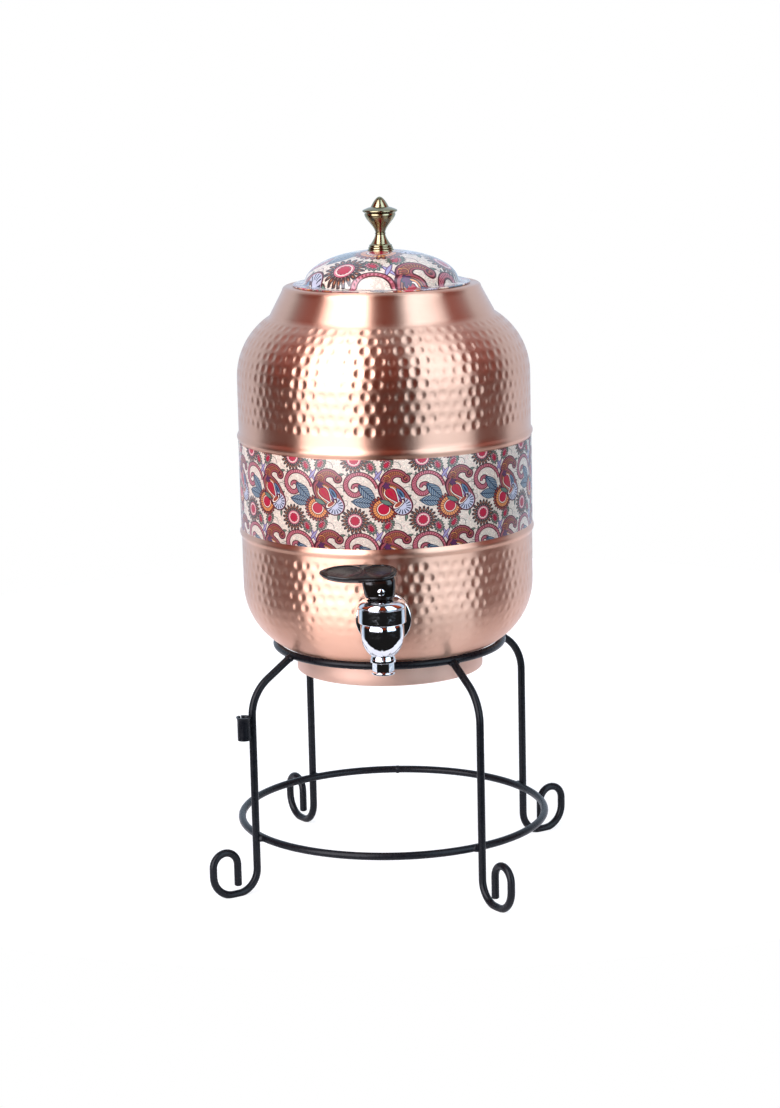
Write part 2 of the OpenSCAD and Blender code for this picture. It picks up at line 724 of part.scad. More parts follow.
// Turned brass knob: flared base, waist, cup, rim and a pointed cap
module lid_knob() {
    base_r = knob_base_d / 2;
    waist_r = knob_waist_d / 2;
    wide_r = knob_d / 2;
    cap_z = knob_wide_h + knob_rim_t;
    flare = [for (i = [0:knob_steps]) let (t = i / knob_steps)
        [waist_r + (base_r - waist_r) * pow(1 - t, 1.5), knob_base_t + (knob_waist_h - knob_base_t) * t]];
    cup = [for (i = [1:knob_steps]) let (t = i / knob_steps)
        [waist_r + (wide_r - waist_r) * (1 - cos(180 * t)) / 2, knob_waist_h + (knob_wide_h - knob_waist_h) * t]];
    cap = [for (i = [0:knob_steps]) let (t = i / knob_steps)
        [knob_cap_d / 2 * pow(1 - t, 0.7), cap_z + (knob_h - cap_z) * t]];
    color(brass) on_axis() difference() {
        translate([0, 0, dome_top_z]) rotate_extrude()
            polygon(concat([[0, -knob_base_t], [base_r, -knob_base_t]], flare, cup, [[wide_r, cap_z]], cap));
        rotate_extrude() dome_section(-snug);
        translate([0, 0, dome_z]) cylinder(d = screw_d + 2 * snug, h = dome_h + screw_in + 0.5);
    }
}

// Washer under the lid, shaped to the dome
module knob_washer() {
    color(steel) on_axis() difference() {
        translate([0, 0, dome_top_z - lid_sheet_t - knob_washer_t]) cylinder(d = knob_washer_d, h = knob_washer_t);
        translate([0, 0, dome_z]) cylinder(d = screw_d + 2 * snug, h = 2 * dome_h);
        rotate_extrude() difference() {
            translate([0, dome_z]) square([dome_d, 2 * dome_h]);
            dome_section(lid_sheet_t + snug);
        }
    }
}

// Screw from under the lid into the knob
module knob_screw() {
    head_top = dome_top_z - lid_sheet_t - knob_washer_t - snug;
    color(steel) on_axis() {
        translate([0, 0, head_top - screw_head_t]) cylinder(d = screw_head_d, h = screw_head_t);
        translate([0, 0, head_top - eps]) cylinder(d = screw_d, h = dome_top_z + screw_in - head_top + eps);
    }
}

upper_ring();
lower_ring();
leg_front_right();
leg_rear_right();
leg_rear_left();
leg_front_left();
hook_socket();
lower_shell();
foot_ring();
upper_shell();
printed_band();
tap_body();
outer_washer();
inner_washer();
tap_nut();
bonnet_seal();
tap_bonnet();
return_spring();
valve_plug();
tap_stem();
lever_pin();
tap_lever();
lid_dome();
lid_sleeve();
lid_knob();
knob_washer();
knob_screw();
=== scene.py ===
"""Hammered copper water dispenser on a black rod stand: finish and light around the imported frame."""
import math

import bmesh
import bpy
import numpy as np
from mathutils import Matrix, Vector


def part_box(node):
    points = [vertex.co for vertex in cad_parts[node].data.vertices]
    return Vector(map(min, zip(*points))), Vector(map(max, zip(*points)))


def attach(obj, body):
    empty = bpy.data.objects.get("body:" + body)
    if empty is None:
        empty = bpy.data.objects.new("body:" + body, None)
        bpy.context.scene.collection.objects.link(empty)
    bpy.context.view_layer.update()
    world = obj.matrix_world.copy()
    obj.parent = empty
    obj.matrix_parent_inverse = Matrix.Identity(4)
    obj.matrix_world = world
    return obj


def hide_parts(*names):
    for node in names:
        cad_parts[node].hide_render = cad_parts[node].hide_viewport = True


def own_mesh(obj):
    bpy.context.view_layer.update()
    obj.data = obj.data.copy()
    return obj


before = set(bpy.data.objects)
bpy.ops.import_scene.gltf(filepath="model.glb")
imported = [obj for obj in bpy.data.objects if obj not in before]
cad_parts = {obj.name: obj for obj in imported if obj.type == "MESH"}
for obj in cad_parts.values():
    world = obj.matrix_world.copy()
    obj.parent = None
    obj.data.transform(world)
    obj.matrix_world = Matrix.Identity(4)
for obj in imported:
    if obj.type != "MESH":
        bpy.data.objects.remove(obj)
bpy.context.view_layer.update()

scene = bpy.context.scene
scene.view_settings.view_transform = "Standard"
MM = 0.001

# The camera. It stands about 1.8 m from the tank, a little above the lid and two degrees to the right
# of the tap, behind a long lens. The picture is turned by just over a degree.
photo_height_px = 1108
focal_px = 2784
sensor_mm = 36
camera_away = 1.802
camera_up = 0.5762
camera_turn = math.radians(2.0)
camera_tilt = math.radians(11.41)
camera_pan = math.radians(0.05)
camera_roll = math.radians(-1.29)

ring_low, ring_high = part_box("upper_ring")
axis = Vector(((ring_low.x + ring_high.x) / 2, (ring_low.y + ring_high.y) / 2, 0))
camera_lens = bpy.data.cameras.new("photo_camera")
camera_lens.sensor_fit = "VERTICAL"
camera_lens.sensor_height = sensor_mm
camera_lens.lens = focal_px / photo_height_px * sensor_mm
camera = bpy.data.objects.new("photo_camera", camera_lens)
scene.collection.objects.link(camera)
camera_place = axis + Vector((math.sin(camera_turn), -math.cos(camera_turn), 0)) * camera_away
camera_place.z = camera_up
camera.matrix_world = (
    Matrix.Translation(camera_place)
    @ Matrix.Rotation(camera_turn - camera_pan, 4, "Z")
    @ Matrix.Rotation(math.pi / 2 - camera_tilt, 4, "X")
    @ Matrix.Rotation(camera_roll, 4, "Z")
)
scene.camera = camera


# The studio. Two tall soft boxes stand left and right of the camera and a white sweep closes the rear,
# with dim warm gaps between them that give the copper its bands. The camera itself sees plain white.
def add_node(tree, kind, **settings):
    """A new node of a tree with its settings."""
    node = tree.nodes.new(kind)
    for name, value in settings.items():
        setattr(node, name, value)
    return node


def feed(tree, node, socket, value):
    """Gives an input socket a number, a colour or another node's output."""
    if isinstance(value, bpy.types.NodeSocket):
        tree.links.new(value, node.inputs[socket])
    else:
        node.inputs[socket].default_value = value


def math_node(tree, operation, first, second=0.0, third=0.0):
    """The output of one arithmetic step."""
    node = add_node(tree, "ShaderNodeMath", operation=operation)
    for place, value in enumerate((first, second, third)):
        feed(tree, node, place, value)
    return node.outputs[0]


def ramp_step(tree, value, low, high, from_value=0.0, to_value=1.0):
    """A soft step of a value between two thresholds."""
    node = add_node(tree, "ShaderNodeMapRange", interpolation_type="SMOOTHSTEP")
    for socket, number in (("Value", value), ("From Min", low), ("From Max", high),
                           ("To Min", from_value), ("To Max", to_value)):
        feed(tree, node, socket, number)
    return node.outputs["Result"]


studio = bpy.data.worlds.new("studio")
scene.world = studio
studio.use_nodes = True
sky = studio.node_tree
sky.nodes.clear()
sky_place = add_node(sky, "ShaderNodeTexCoord")
sky_turn = add_node(sky, "ShaderNodeVectorRotate", rotation_type="Z_AXIS")
sky.links.new(sky_place.outputs["Generated"], sky_turn.inputs["Vector"])
sky_turn.inputs["Angle"].default_value = -camera_turn
sky_way = add_node(sky, "ShaderNodeSeparateXYZ")
sky.links.new(sky_turn.outputs[0], sky_way.inputs[0])
towards_camera = math_node(sky, "MULTIPLY", sky_way.outputs["Y"], -1.0)
bearing = math_node(sky, "DEGREES", math_node(sky, "ARCTAN2", sky_way.outputs["X"], towards_camera))
turn_away = math_node(sky, "ABSOLUTE", bearing)
rise = math_node(sky, "DEGREES", math_node(sky, "ARCSINE", sky_way.outputs["Z"]))


def sky_window(value, low, high, soft):
    """One between two angles, with soft edges."""
    opening = ramp_step(sky, value, low - soft, low + soft)
    closing = ramp_step(sky, value, high - soft, high + soft, 1.0, 0.0)
    return math_node(sky, "MULTIPLY", opening, closing)


box_height = sky_window(rise, -6, 68, 6)
left_box = math_node(sky, "MULTIPLY", sky_window(bearing, -69, -17, 3), box_height)
right_box = math_node(sky, "MULTIPLY", sky_window(bearing, 27, 73, 4), box_height)
rear_left = ramp_step(sky, bearing, -123, -106, 1.0, 0.0)
rear_right = ramp_step(sky, bearing, 104, 119)
rear_sweep = math_node(sky, "ADD", rear_left, rear_right)
overhead = ramp_step(sky, rise, 64, 80)
gap_height = sky_window(rise, 14, 62, 8)
front_gap = math_node(sky, "MULTIPLY", sky_window(bearing, -11, 19, 4), gap_height)
side_gap = math_node(sky, "MULTIPLY", sky_window(turn_away, 79, 114, 5), gap_height)
studio_light = (0.014, 0.013, 0.013)
for patch, colour in (
    (left_box, (6.0, 5.9, 6.4)), (right_box, (2.5, 3.1, 3.7)), (rear_sweep, (0.70, 0.84, 1.02)),
    (overhead, (0.12, 0.11, 0.11)), (front_gap, (0.33, 0.035, 0.0)), (side_gap, (0.41, 0.05, 0.008)),
):
    light_sum = add_node(sky, "ShaderNodeVectorMath", operation="MULTIPLY_ADD")
    for socket, value in enumerate((patch, colour, studio_light)):
        feed(sky, light_sum, socket, value)
    studio_light = light_sum.outputs[0]
sky_ray = add_node(sky, "ShaderNodeLightPath")
sky_level = add_node(sky, "ShaderNodeMix", data_type="RGBA")
sky.links.new(sky_ray.outputs["Is Camera Ray"], sky_level.inputs["Factor"])
sky.links.new(studio_light, sky_level.inputs["A"])
sky_level.inputs["B"].default_value = (1, 1, 1, 1)
sky_background = add_node(sky, "ShaderNodeBackground")
sky.links.new(sky_level.outputs["Result"], sky_background.inputs["Color"])
sky_output = add_node(sky, "ShaderNodeOutputWorld")
sky.links.new(sky_background.outputs[0], sky_output.inputs["Surface"])

floor_radius = 0.62
floor_rounds = 96
floor_back = 0.42
floor_mesh = bpy.data.meshes.new("table_top")
floor_rim = [
    (floor_radius * math.cos(2 * math.pi * i / floor_rounds),
     floor_back + floor_radius * math.sin(2 * math.pi * i / floor_rounds), 0)
    for i in range(floor_rounds)
]
floor_mesh.from_pydata(floor_rim, [], [list(range(floor_rounds))])
floor = bpy.data.objects.new("table_top", floor_mesh)
scene.collection.objects.link(floor)
floor_finish = bpy.data.materials.new("pale_table")
floor_finish.use_nodes = True
floor_tree = floor_finish.node_tree
floor_tree.nodes.clear()
floor_ray = add_node(floor_tree, "ShaderNodeLightPath")
floor_lit = add_node(floor_tree, "ShaderNodeBsdfDiffuse")
floor_lit.inputs["Color"].default_value = (0.86, 0.86, 0.86, 1)
floor_shade = add_node(floor_tree, "ShaderNodeBsdfDiffuse")
floor_shade.inputs["Color"].default_value = (0.34, 0.34, 0.34, 1)
floor_glow = add_node(floor_tree, "ShaderNodeEmission")
floor_glow.inputs["Strength"].default_value = 0.74
floor_seen = add_node(floor_tree, "ShaderNodeAddShader")
floor_tree.links.new(floor_shade.outputs[0], floor_seen.inputs[0])
floor_tree.links.new(floor_glow.outputs[0], floor_seen.inputs[1])
floor_choice = add_node(floor_tree, "ShaderNodeMixShader")
floor_tree.links.new(floor_ray.outputs["Is Camera Ray"], floor_choice.inputs[0])
floor_tree.links.new(floor_lit.outputs[0], floor_choice.inputs[1])
floor_tree.links.new(floor_seen.outputs[0], floor_choice.inputs[2])
floor_output = add_node(floor_tree, "ShaderNodeOutputMaterial")
floor_tree.links.new(floor_choice.outputs[0], floor_output.inputs["Surface"])
floor_mesh.materials.append(floor_finish)


# The stand. Round steel rod, bent cold and welded into two rings and four legs with scroll feet, then
# powder coated satin black. Small weld pools show where the rods cross.
def new_group(name, inputs, outputs):
    """An empty shader node group with named inputs and outputs."""
    group = bpy.data.node_groups.new(name, "ShaderNodeTree")
    for socket, kind, value in inputs:
        made = group.interface.new_socket(socket, in_out="INPUT", socket_type=kind)
        if value is not None:
            made.default_value = value
    for socket, kind in outputs:
        group.interface.new_socket(socket, in_out="OUTPUT", socket_type=kind)
    return group, group.nodes.new("NodeGroupInput"), group.nodes.new("NodeGroupOutput")


# Soft mottling in object space: a value that drifts between Low and High, for roughness and height
mottle_group, mottle_in, mottle_out = new_group(
    "soft_mottle",
    [("Scale", "NodeSocketFloat", 100.0), ("Low", "NodeSocketFloat", 0.0), ("High", "NodeSocketFloat", 1.0),
     ("Stretch", "NodeSocketVector", (1.0, 1.0, 1.0))],
    [("Value", "NodeSocketFloat")],
)
mottle_place = add_node(mottle_group, "ShaderNodeTexCoord")
mottle_stretch = add_node(mottle_group, "ShaderNodeVectorMath", operation="MULTIPLY")
mottle_noise = add_node(mottle_group, "ShaderNodeTexNoise")
mottle_noise.inputs["Detail"].default_value = 4.0
mottle_range = add_node(mottle_group, "ShaderNodeMapRange")
mottle_range.inputs["From Min"].default_value = 0.3
mottle_range.inputs["From Max"].default_value = 0.7
for source, target in (
    (mottle_place.outputs["Object"], mottle_stretch.inputs[0]),
    (mottle_in.outputs["Stretch"], mottle_stretch.inputs[1]),
    (mottle_stretch.outputs[0], mottle_noise.inputs["Vector"]),
    (mottle_in.outputs["Scale"], mottle_noise.inputs["Scale"]),
    (mottle_noise.outputs["Fac"], mottle_range.inputs["Value"]),
    (mottle_in.outputs["Low"], mottle_range.inputs["To Min"]),
    (mottle_in.outputs["High"], mottle_range.inputs["To Max"]),
    (mottle_range.outputs[0], mottle_out.inputs["Value"]),
):
    mottle_group.links.new(source, target)


def new_finish(name, **sockets):
    """A material with one Principled shader and its plain sockets; also returns its tree and shader."""
    material = bpy.data.materials.new(name)
    material.use_nodes = True
    shader = material.node_tree.nodes["Principled BSDF"]
    for socket, value in sockets.items():
        shader.inputs[socket.replace("_", " ")].default_value = value
    return material, material.node_tree, shader


def mottle(tree, scale, low, high, stretch=(1.0, 1.0, 1.0)):
    """A drifting value placed in a material."""
    node = add_node(tree, "ShaderNodeGroup", node_tree=mottle_group)
    for socket, value in (("Scale", scale), ("Low", low), ("High", high), ("Stretch", stretch)):
        node.inputs[socket].default_value = value
    return node.outputs["Value"]


def bump_from(tree, shader, height, depth):
    """Turns a height into the shader's normal; the depth is in metres."""
    node = add_node(tree, "ShaderNodeBump")
    node.inputs["Distance"].default_value = depth
    tree.links.new(height, node.inputs["Height"])
    tree.links.new(node.outputs[0], shader.inputs["Normal"])


def tint(tree, value, low_colour, high_colour):
    """A colour between two, by a value from 0 to 1."""
    node = add_node(tree, "ShaderNodeMix", data_type="RGBA")
    feed(tree, node, "Factor", value)
    node.inputs["A"].default_value = (*low_colour, 1)
    node.inputs["B"].default_value = (*high_colour, 1)
    return node.outputs["Result"]


def mottled_finish(name, tone_scale, low_tone, high_tone, rough, relief=None, **sockets):
    """A finish whose tone and roughness drift. Rough is the mottle's scale, low, high and stretch;
    relief, where there is one, is its scale, depth in metres and stretch."""
    material, tree, shader = new_finish(name, **sockets)
    tone = tint(tree, mottle(tree, tone_scale, 0, 1), low_tone, high_tone)
    tree.links.new(tone, shader.inputs["Base Color"])
    tree.links.new(mottle(tree, *rough), shader.inputs["Roughness"])
    if relief:
        scale, depth, *stretch = relief
        bump_from(tree, shader, mottle(tree, scale, 0, 1, *stretch), depth)
    return material


powder_coat = mottled_finish(
    "black_powder_coat", 260, (0.003, 0.0035, 0.005), (0.005, 0.0055, 0.0075),
    (420, 0.24, 0.34), (1300, 0.00002), Specular_IOR_Level=0.18)


def new_mesh(name, vertices, faces):
    """A mesh whose faces all look outwards."""
    mesh = bpy.data.meshes.new(name)
    mesh.from_pydata([tuple(v) for v in vertices], [], [tuple(f) for f in faces])
    mesh.validate()
    shaped = bmesh.new()
    shaped.from_mesh(mesh)
    bmesh.ops.recalc_face_normals(shaped, faces=shaped.faces)
    shaped.to_mesh(mesh)
    shaped.free()
    return mesh


def soften(mesh, sharp_degrees):
    """Smooth shading, with sharp edges where faces meet at more than an angle."""
    mesh.shade_smooth()
    mesh.set_sharp_from_angle(angle=math.radians(sharp_degrees))


def add_piece(name, vertices, faces, material, body, slot, replaced=(), sharp_degrees=38):
    """A smooth shaded mesh that rides on a body and stands for the nodes named."""
    mesh = new_mesh(name, vertices, faces)
    soften(mesh, sharp_degrees)
    mesh.materials.append(material)
    piece = bpy.data.objects.new(name, mesh)
    scene.collection.objects.link(piece)
    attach(piece, body)
    if replaced:
        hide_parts(*replaced)
    return piece


def grid_faces(rows, columns, loop_rows=False, loop_columns=True):
    """Quads between neighbouring rows and columns of points; a loop also joins its last to its first."""
    faces = []
    for i in range(rows if loop_rows else rows - 1):
        k = (i + 1) % rows
        for j in range(columns if loop_columns else columns - 1):
            n = (j + 1) % columns
            faces.append((i * columns + j, i * columns + n, k * columns + n, k * columns + j))
    return faces


def tube_faces(rings, rounds, closed=False):
    """Quads between the rings of a tube, and a face over each end of an open one."""
    faces = grid_faces(rings, rounds, closed)
    if not closed:
        faces.append(tuple(range(rounds)))
        faces.append(tuple(range((rings - 1) * rounds, rings * rounds)))
    return faces


def rod_along(path, side, radius, rounds=20, closed=False):
    """A round rod along points in or near one plane, whose normal is side; open ends are chamfered."""
    path = np.array(path, float)
    side = np.array(side, float)
    if closed:
        ahead = np.roll(path, -1, 0) - np.roll(path, 1, 0)
        radii = np.full(len(path), radius)
    else:
        chamfer = radius * 0.22
        first = path[0] + (path[1] - path[0]) / np.linalg.norm(path[1] - path[0]) * chamfer
        last = path[-1] + (path[-2] - path[-1]) / np.linalg.norm(path[-2] - path[-1]) * chamfer
        path = np.concatenate([[path[0], first], path[1:-1], [last, path[-1]]])
        ahead = np.gradient(path, axis=0)
        radii = np.full(len(path), radius)
        radii[[0, -1]] -= chamfer
    ahead /= np.linalg.norm(ahead, axis=1, keepdims=True)
    across = np.cross(ahead, side)
    angles = np.arange(rounds) * 2 * np.pi / rounds
    rings = (path[:, None] + radii[:, None, None] * (
        np.cos(angles)[None, :, None] * across[:, None] + np.sin(angles)[None, :, None] * side[None, None]))
    return rings.reshape(-1, 3), tube_faces(len(path), rounds, closed)


def join_shapes(*shapes):
    """Several lists of vertices and faces as one."""
    vertices, faces, count = [], [], 0
    for points, loops in shapes:
        vertices.append(np.asarray(points, float))
        faces += [tuple(i + count for i in loop) for loop in loops]
        count += len(points)
    return np.concatenate(vertices), faces


def arc(centre, radius, start, end, steps):
    """Points of an arc in the plane of radius and height, angles in degrees."""
    angles = np.radians(np.linspace(start, end, steps))
    return [(centre[0] + radius * math.cos(a), centre[1] + radius * math.sin(a)) for a in angles]


weld_draws = np.random.default_rng(7)


def weld_pool(centre, axes, sizes):
    """A lump of weld metal: a rounded body with a few soft ripples, along three axes."""
    rounds, rows = 20, 12
    phases = weld_draws.uniform(0, 2 * np.pi, 3)
    points = []
    for i in range(rows + 1):
        for j in range(rounds):
            a, b = np.pi * i / rows, 2 * np.pi * j / rounds
            way = np.array([np.sin(a) * np.cos(b), np.sin(a) * np.sin(b), np.cos(a)])
            swell = 1 + 0.06 * np.sin(3 * b + phases[0]) * np.sin(a) + 0.05 * np.sin(4 * a + phases[1])
            points.append(np.array(centre) + (np.array(axes).T @ (way * np.array(sizes) * swell)))
    return points, grid_faces(rows + 1, rounds)


lower_low, lower_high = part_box("lower_ring")
rod_d = ring_high.z - ring_low.z
rod_r = rod_d / 2
upper_ring_r = (ring_high.x - ring_low.x) / 2 - rod_r
upper_ring_z = (ring_low.z + ring_high.z) / 2
lower_ring_r = (lower_high.x - lower_low.x) / 2 - rod_r
lower_ring_z = (lower_low.z + lower_high.z) / 2
weld_sink = 0.4 * MM
leg_turns = {"leg_front_right": 34, "leg_rear_right": 124, "leg_rear_left": 214, "leg_front_left": 304}
leg_slope = math.radians(56)
leg_bend_r = 28 * MM
foot_round_r = 14.5 * MM
foot_flat = 3.5 * MM
foot_grind = 0.8 * MM
scroll_r = 9 * MM
scroll_side = 5.6 * MM
scroll_tail = 14.5 * MM
ring_steps = 220
bend_steps = 14
scroll_steps = 18
crossing_weld_size = (5.2 * MM, 2.3 * MM, 2.7 * MM)
top_weld_size = (4.2 * MM, 2.6 * MM, 2.2 * MM)
butt_weld_size = (2.6 * MM, 2.8 * MM, 2.8 * MM)

leg_r = lower_ring_r + rod_d - weld_sink
bend_axis_r = leg_r - leg_bend_r
bend_top_r = bend_axis_r + leg_bend_r * math.cos(leg_slope)
leg_top = (bend_top_r - upper_ring_r) / math.sin(leg_slope)
bend_z = upper_ring_z - leg_top * math.cos(leg_slope) - leg_bend_r * math.sin(leg_slope)
foot_axis_z = rod_r - foot_grind
foot_round_z = foot_axis_z + foot_round_r
foot_out_r = leg_r + 2 * foot_round_r + foot_flat
scroll_z = foot_round_z + scroll_side
leg_path = [(upper_ring_r + rod_r * 0.3, upper_ring_z - rod_r * 0.2)]
leg_path += arc((bend_axis_r, bend_z), leg_bend_r, math.degrees(leg_slope), 0, bend_steps)
leg_path += [(leg_r, z) for z in np.linspace(bend_z, foot_round_z, 8)[1:-1]]
leg_path += arc((leg_r + foot_round_r, foot_round_z), foot_round_r, 180, 270, bend_steps)
leg_path += arc((foot_out_r - foot_round_r, foot_round_z), foot_round_r, 270, 360, bend_steps)
leg_path += arc((foot_out_r - scroll_r, scroll_z), scroll_r, 0, 180, scroll_steps)
leg_path += [(foot_out_r - 2 * scroll_r, scroll_z - scroll_tail * part) for part in (0.4, 0.8, 1.0)]

up = np.array([0.0, 0.0, 1.0])
for leg_name, turn in leg_turns.items():
    heading = math.radians(turn - 90)
    out = np.array([math.cos(heading), math.sin(heading), 0])
    along_ring = np.cross(up, out)
    leg_points = [np.array(axis) + out * r + up * z for r, z in leg_path]
    rod_shape = rod_along(leg_points, along_ring, rod_r)
    rod_shape[0][:, 2] = np.maximum(rod_shape[0][:, 2], 0)
    crossing = np.array(axis) + out * (lower_ring_r + rod_r * 0.85) + up * lower_ring_z
    crossing_weld = weld_pool(crossing, (along_ring, out, up), crossing_weld_size)
    top_joint = np.array(axis) + out * (upper_ring_r + rod_r * 0.9) + up * (upper_ring_z - rod_r * 0.62)
    top_weld = weld_pool(top_joint, (along_ring, out, up), top_weld_size)
    leg_shape = join_shapes(rod_shape, crossing_weld, top_weld)
    add_piece(leg_name + "_rod", *leg_shape, powder_coat, "stand", "stand", (leg_name,))

ring_angles = np.arange(ring_steps) * 2 * np.pi / ring_steps
for ring_name, ring_r, ring_z in (
    ("upper_ring", upper_ring_r, upper_ring_z), ("lower_ring", lower_ring_r, lower_ring_z),
):
    ring_places = [(ring_r * math.cos(a), ring_r * math.sin(a), ring_z) for a in ring_angles]
    ring_shape = rod_along(np.array(axis) + np.array(ring_places), up, rod_r, closed=True)
    butt_place = np.array(axis) + np.array([0, ring_r, ring_z])
    butt_weld = weld_pool(butt_place, ((1, 0, 0), (0, 1, 0), (0, 0, 1)), butt_weld_size)
    ring_shape = join_shapes(ring_shape, butt_weld)
    add_piece(ring_name + "_rod", *ring_shape, powder_coat, "stand", "stand", (ring_name,))


# The hook socket. A strip of sheet rolled into a sleeve, left open along one side with its top edge
# turned out a little, welded to the outside of the front left leg and coated with the stand.
def open_sleeve(section, centre, out, side, gap_turn, gap_half, columns):
    """A section of radius and height turned about an upright line until its ends nearly meet at a gap."""
    turns = np.linspace(gap_turn + gap_half, gap_turn + 2 * math.pi - gap_half, columns + 1)
    points = [
        centre + r * (math.sin(turn) * out - math.cos(turn) * side) + z * up
        for turn in turns for r, z in section
    ]
    return points, tube_faces(columns + 1, len(section))


socket_low, socket_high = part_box("hook_socket")
socket_h = socket_high.z - socket_low.z
socket_outer_r = 4.3 * MM
socket_inner_r = 3.1 * MM
socket_slit = 1 * MM
socket_lip = 0.7 * MM
socket_columns = 43
socket_weld_size = (2.1 * MM, 1.2 * MM, 2.4 * MM)
socket_rows = [(0.0, 0.0), (0.03, 0.0), (0.5, 0.0), (0.86, 0.0), (0.95, 0.5), (1.0, 1.0)]
socket_heading = math.radians(leg_turns["leg_front_left"] - 90)
socket_out = np.array([math.cos(socket_heading), math.sin(socket_heading), 0])
socket_side = np.cross(up, socket_out)
socket_centre = np.array(axis) + socket_out * (leg_r + rod_r + socket_outer_r - weld_sink)
socket_wall = [(socket_lip * lip, socket_low.z + socket_h * share) for share, lip in socket_rows]
socket_section = [(socket_outer_r + lip, z) for lip, z in socket_wall]
socket_section += [(socket_inner_r + lip, z) for lip, z in socket_wall[::-1]]
slit_half = socket_slit / 2 / socket_outer_r
socket_sleeve = open_sleeve(
    socket_section, socket_centre, socket_out, socket_side, 0, slit_half, socket_columns)
socket_shapes = [socket_sleeve]
for share in (0.12, 0.36, 0.62, 0.86):
    weld_place = np.array(axis) + socket_out * (leg_r + rod_r) + up * (socket_low.z + socket_h * share)
    socket_shapes.append(weld_pool(weld_place, (socket_side, socket_out, up), socket_weld_size))
socket_shape = join_shapes(*socket_shapes)
add_piece("hook_sleeve", *socket_shape, powder_coat, "stand", "stand", ("hook_socket",))

# The tank. Two spun copper halves lap behind the printed band and are soldered there; each has a rolled
# bead. The wall is dotted with round hammer marks, neck and rim are brushed, and the foot ring is matt.
body_r = 95.5
sheet_t = 1.0
lower_round_r = 45.5
shoulder_r = 46.5
neck_foot_r = 73.4
neck_top_r = 64.5
neck_h = 19.2
rim_r = 2.5
mouth_r = 52.0
bead_half = 3.0
bead_proud = 1.2
bead_step = 0.45
bead_round = 1.4
lower_bead_down = 31.55
upper_bead_up = 31.45
lap_h = 10.0
mark_pitch = 7.1
mark_depth = 0.36
mark_round_r = 13.0
mark_drift = 0.55
mark_strength = (0.72, 1.12)
mark_near = 0.62
row_slip = 0.1
upper_mark_seed = 11
lower_mark_seed = 12
tank_columns = 640
fine_step = 0.8

shell_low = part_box("lower_shell")[0]
upper_low, upper_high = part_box("upper_shell")
bottom_z = shell_low.z / MM
rim_z = upper_high.z / MM
joint_z = upper_low.z / MM
wall_z = bottom_z + lower_round_r
neck_z = rim_z - neck_h
lower_centre_r = body_r - lower_round_r
shoulder_centre_r = body_r - shoulder_r
shoulder_z = neck_z - math.sqrt(shoulder_r ** 2 - (neck_foot_r - shoulder_centre_r) ** 2)
lower_bead_z = joint_z - lower_bead_down
upper_bead_z = joint_z + upper_bead_up


def heights(low, high, step):
    """Evenly spaced heights, no further apart than step, without the last one."""
    count = max(1, math.ceil((high - low) / step))
    return [low + (high - low) * i / count for i in range(count)]


def bead_rows(bead_z):
    """Rows of the wall's section over a rolled bead."""
    rows = []
    for z in heights(bead_z - bead_half, bead_z + bead_half, bead_step):
        away = min(abs(z - bead_z) / bead_half, 1)
        rows.append((body_r + bead_proud * math.cos(math.pi / 2 * away) ** bead_round, z))
    return rows


def inward(profile, depth):
    """A section moved along its normals, towards the inside of the sheet."""
    line = np.array(profile)
    along = np.gradient(line, axis=0)
    along /= np.linalg.norm(along, axis=1, keepdims=True)
    return line + depth * np.stack([-along[:, 1], along[:, 0]], 1)


upper_mark_foot = shoulder_z - 27
outer = [(body_r, z) for z in heights(joint_z, upper_bead_z - bead_half, 5)]
outer += bead_rows(upper_bead_z)
outer += [(body_r, z) for z in heights(upper_bead_z + bead_half, upper_mark_foot, 3)]
outer += [(body_r, z) for z in heights(upper_mark_foot, shoulder_z, fine_step)]
shoulder_end = math.degrees(math.acos((neck_foot_r - shoulder_centre_r) / shoulder_r))
shoulder_rows = math.ceil(math.radians(shoulder_end) * shoulder_r / fine_step)
outer += arc((shoulder_centre_r, shoulder_z), shoulder_r, 0, shoulder_end - 2, shoulder_rows)
neck_lean = (neck_foot_r - neck_top_r) / (neck_h - rim_r)
corner_soft = 2.0
outer += [(neck_foot_r - neck_lean * 0.45, neck_z + 0.25)]
outer += [(neck_foot_r - neck_lean * z, neck_z + z) for z in heights(corner_soft, neck_h - rim_r, 2.4)]
outer += arc((neck_top_r - rim_r, rim_z - rim_r), rim_r, 4, 90, 8)
outer += [(neck_top_r - rim_r - 4, rim_z), (mouth_r + 0.4, rim_z), (mouth_r, rim_z - 0.3)]
upper_outer = np.array(outer)
upper_inner = inward(upper_outer, sheet_t)[::3][::-1]
upper_inner[0] = (mouth_r + 0.2, rim_z - sheet_t)
upper_inner[-1] = (body_r - sheet_t, joint_z)

lower_mark_end = 52
lower_outer = [(0, bottom_z)]
lower_outer += [(r, bottom_z) for r in heights(6, lower_centre_r, 8)]
lower_outer += arc((lower_centre_r, wall_z), lower_round_r, -90, -lower_mark_end - 2, 12)
lower_rows = math.ceil(math.radians(lower_mark_end) * lower_round_r / fine_step)
lower_outer += arc((lower_centre_r, wall_z), lower_round_r, -lower_mark_end, 0, lower_rows)
lower_outer += [(body_r, z) for z in heights(wall_z + fine_step, lower_bead_z - bead_half, fine_step)]
lower_outer += bead_rows(lower_bead_z)
lower_outer += [(body_r, z) for z in heights(lower_bead_z + bead_half, joint_z, 5)]
lower_outer = np.array(lower_outer)
lap_r = body_r - sheet_t - 0.05
lower_inner = [(body_r, joint_z - 0.05), (lap_r, joint_z - 0.05)]
lower_inner += [(lap_r, joint_z + lap_h), (lap_r - sheet_t, joint_z + lap_h)]
lower_inner += [(lap_r - sheet_t, joint_z - lap_h / 2), (body_r - sheet_t, joint_z - lap_h / 2 - 0.3)]
lower_inner += arc((lower_centre_r, wall_z), lower_round_r - sheet_t, 0, -90, 16)
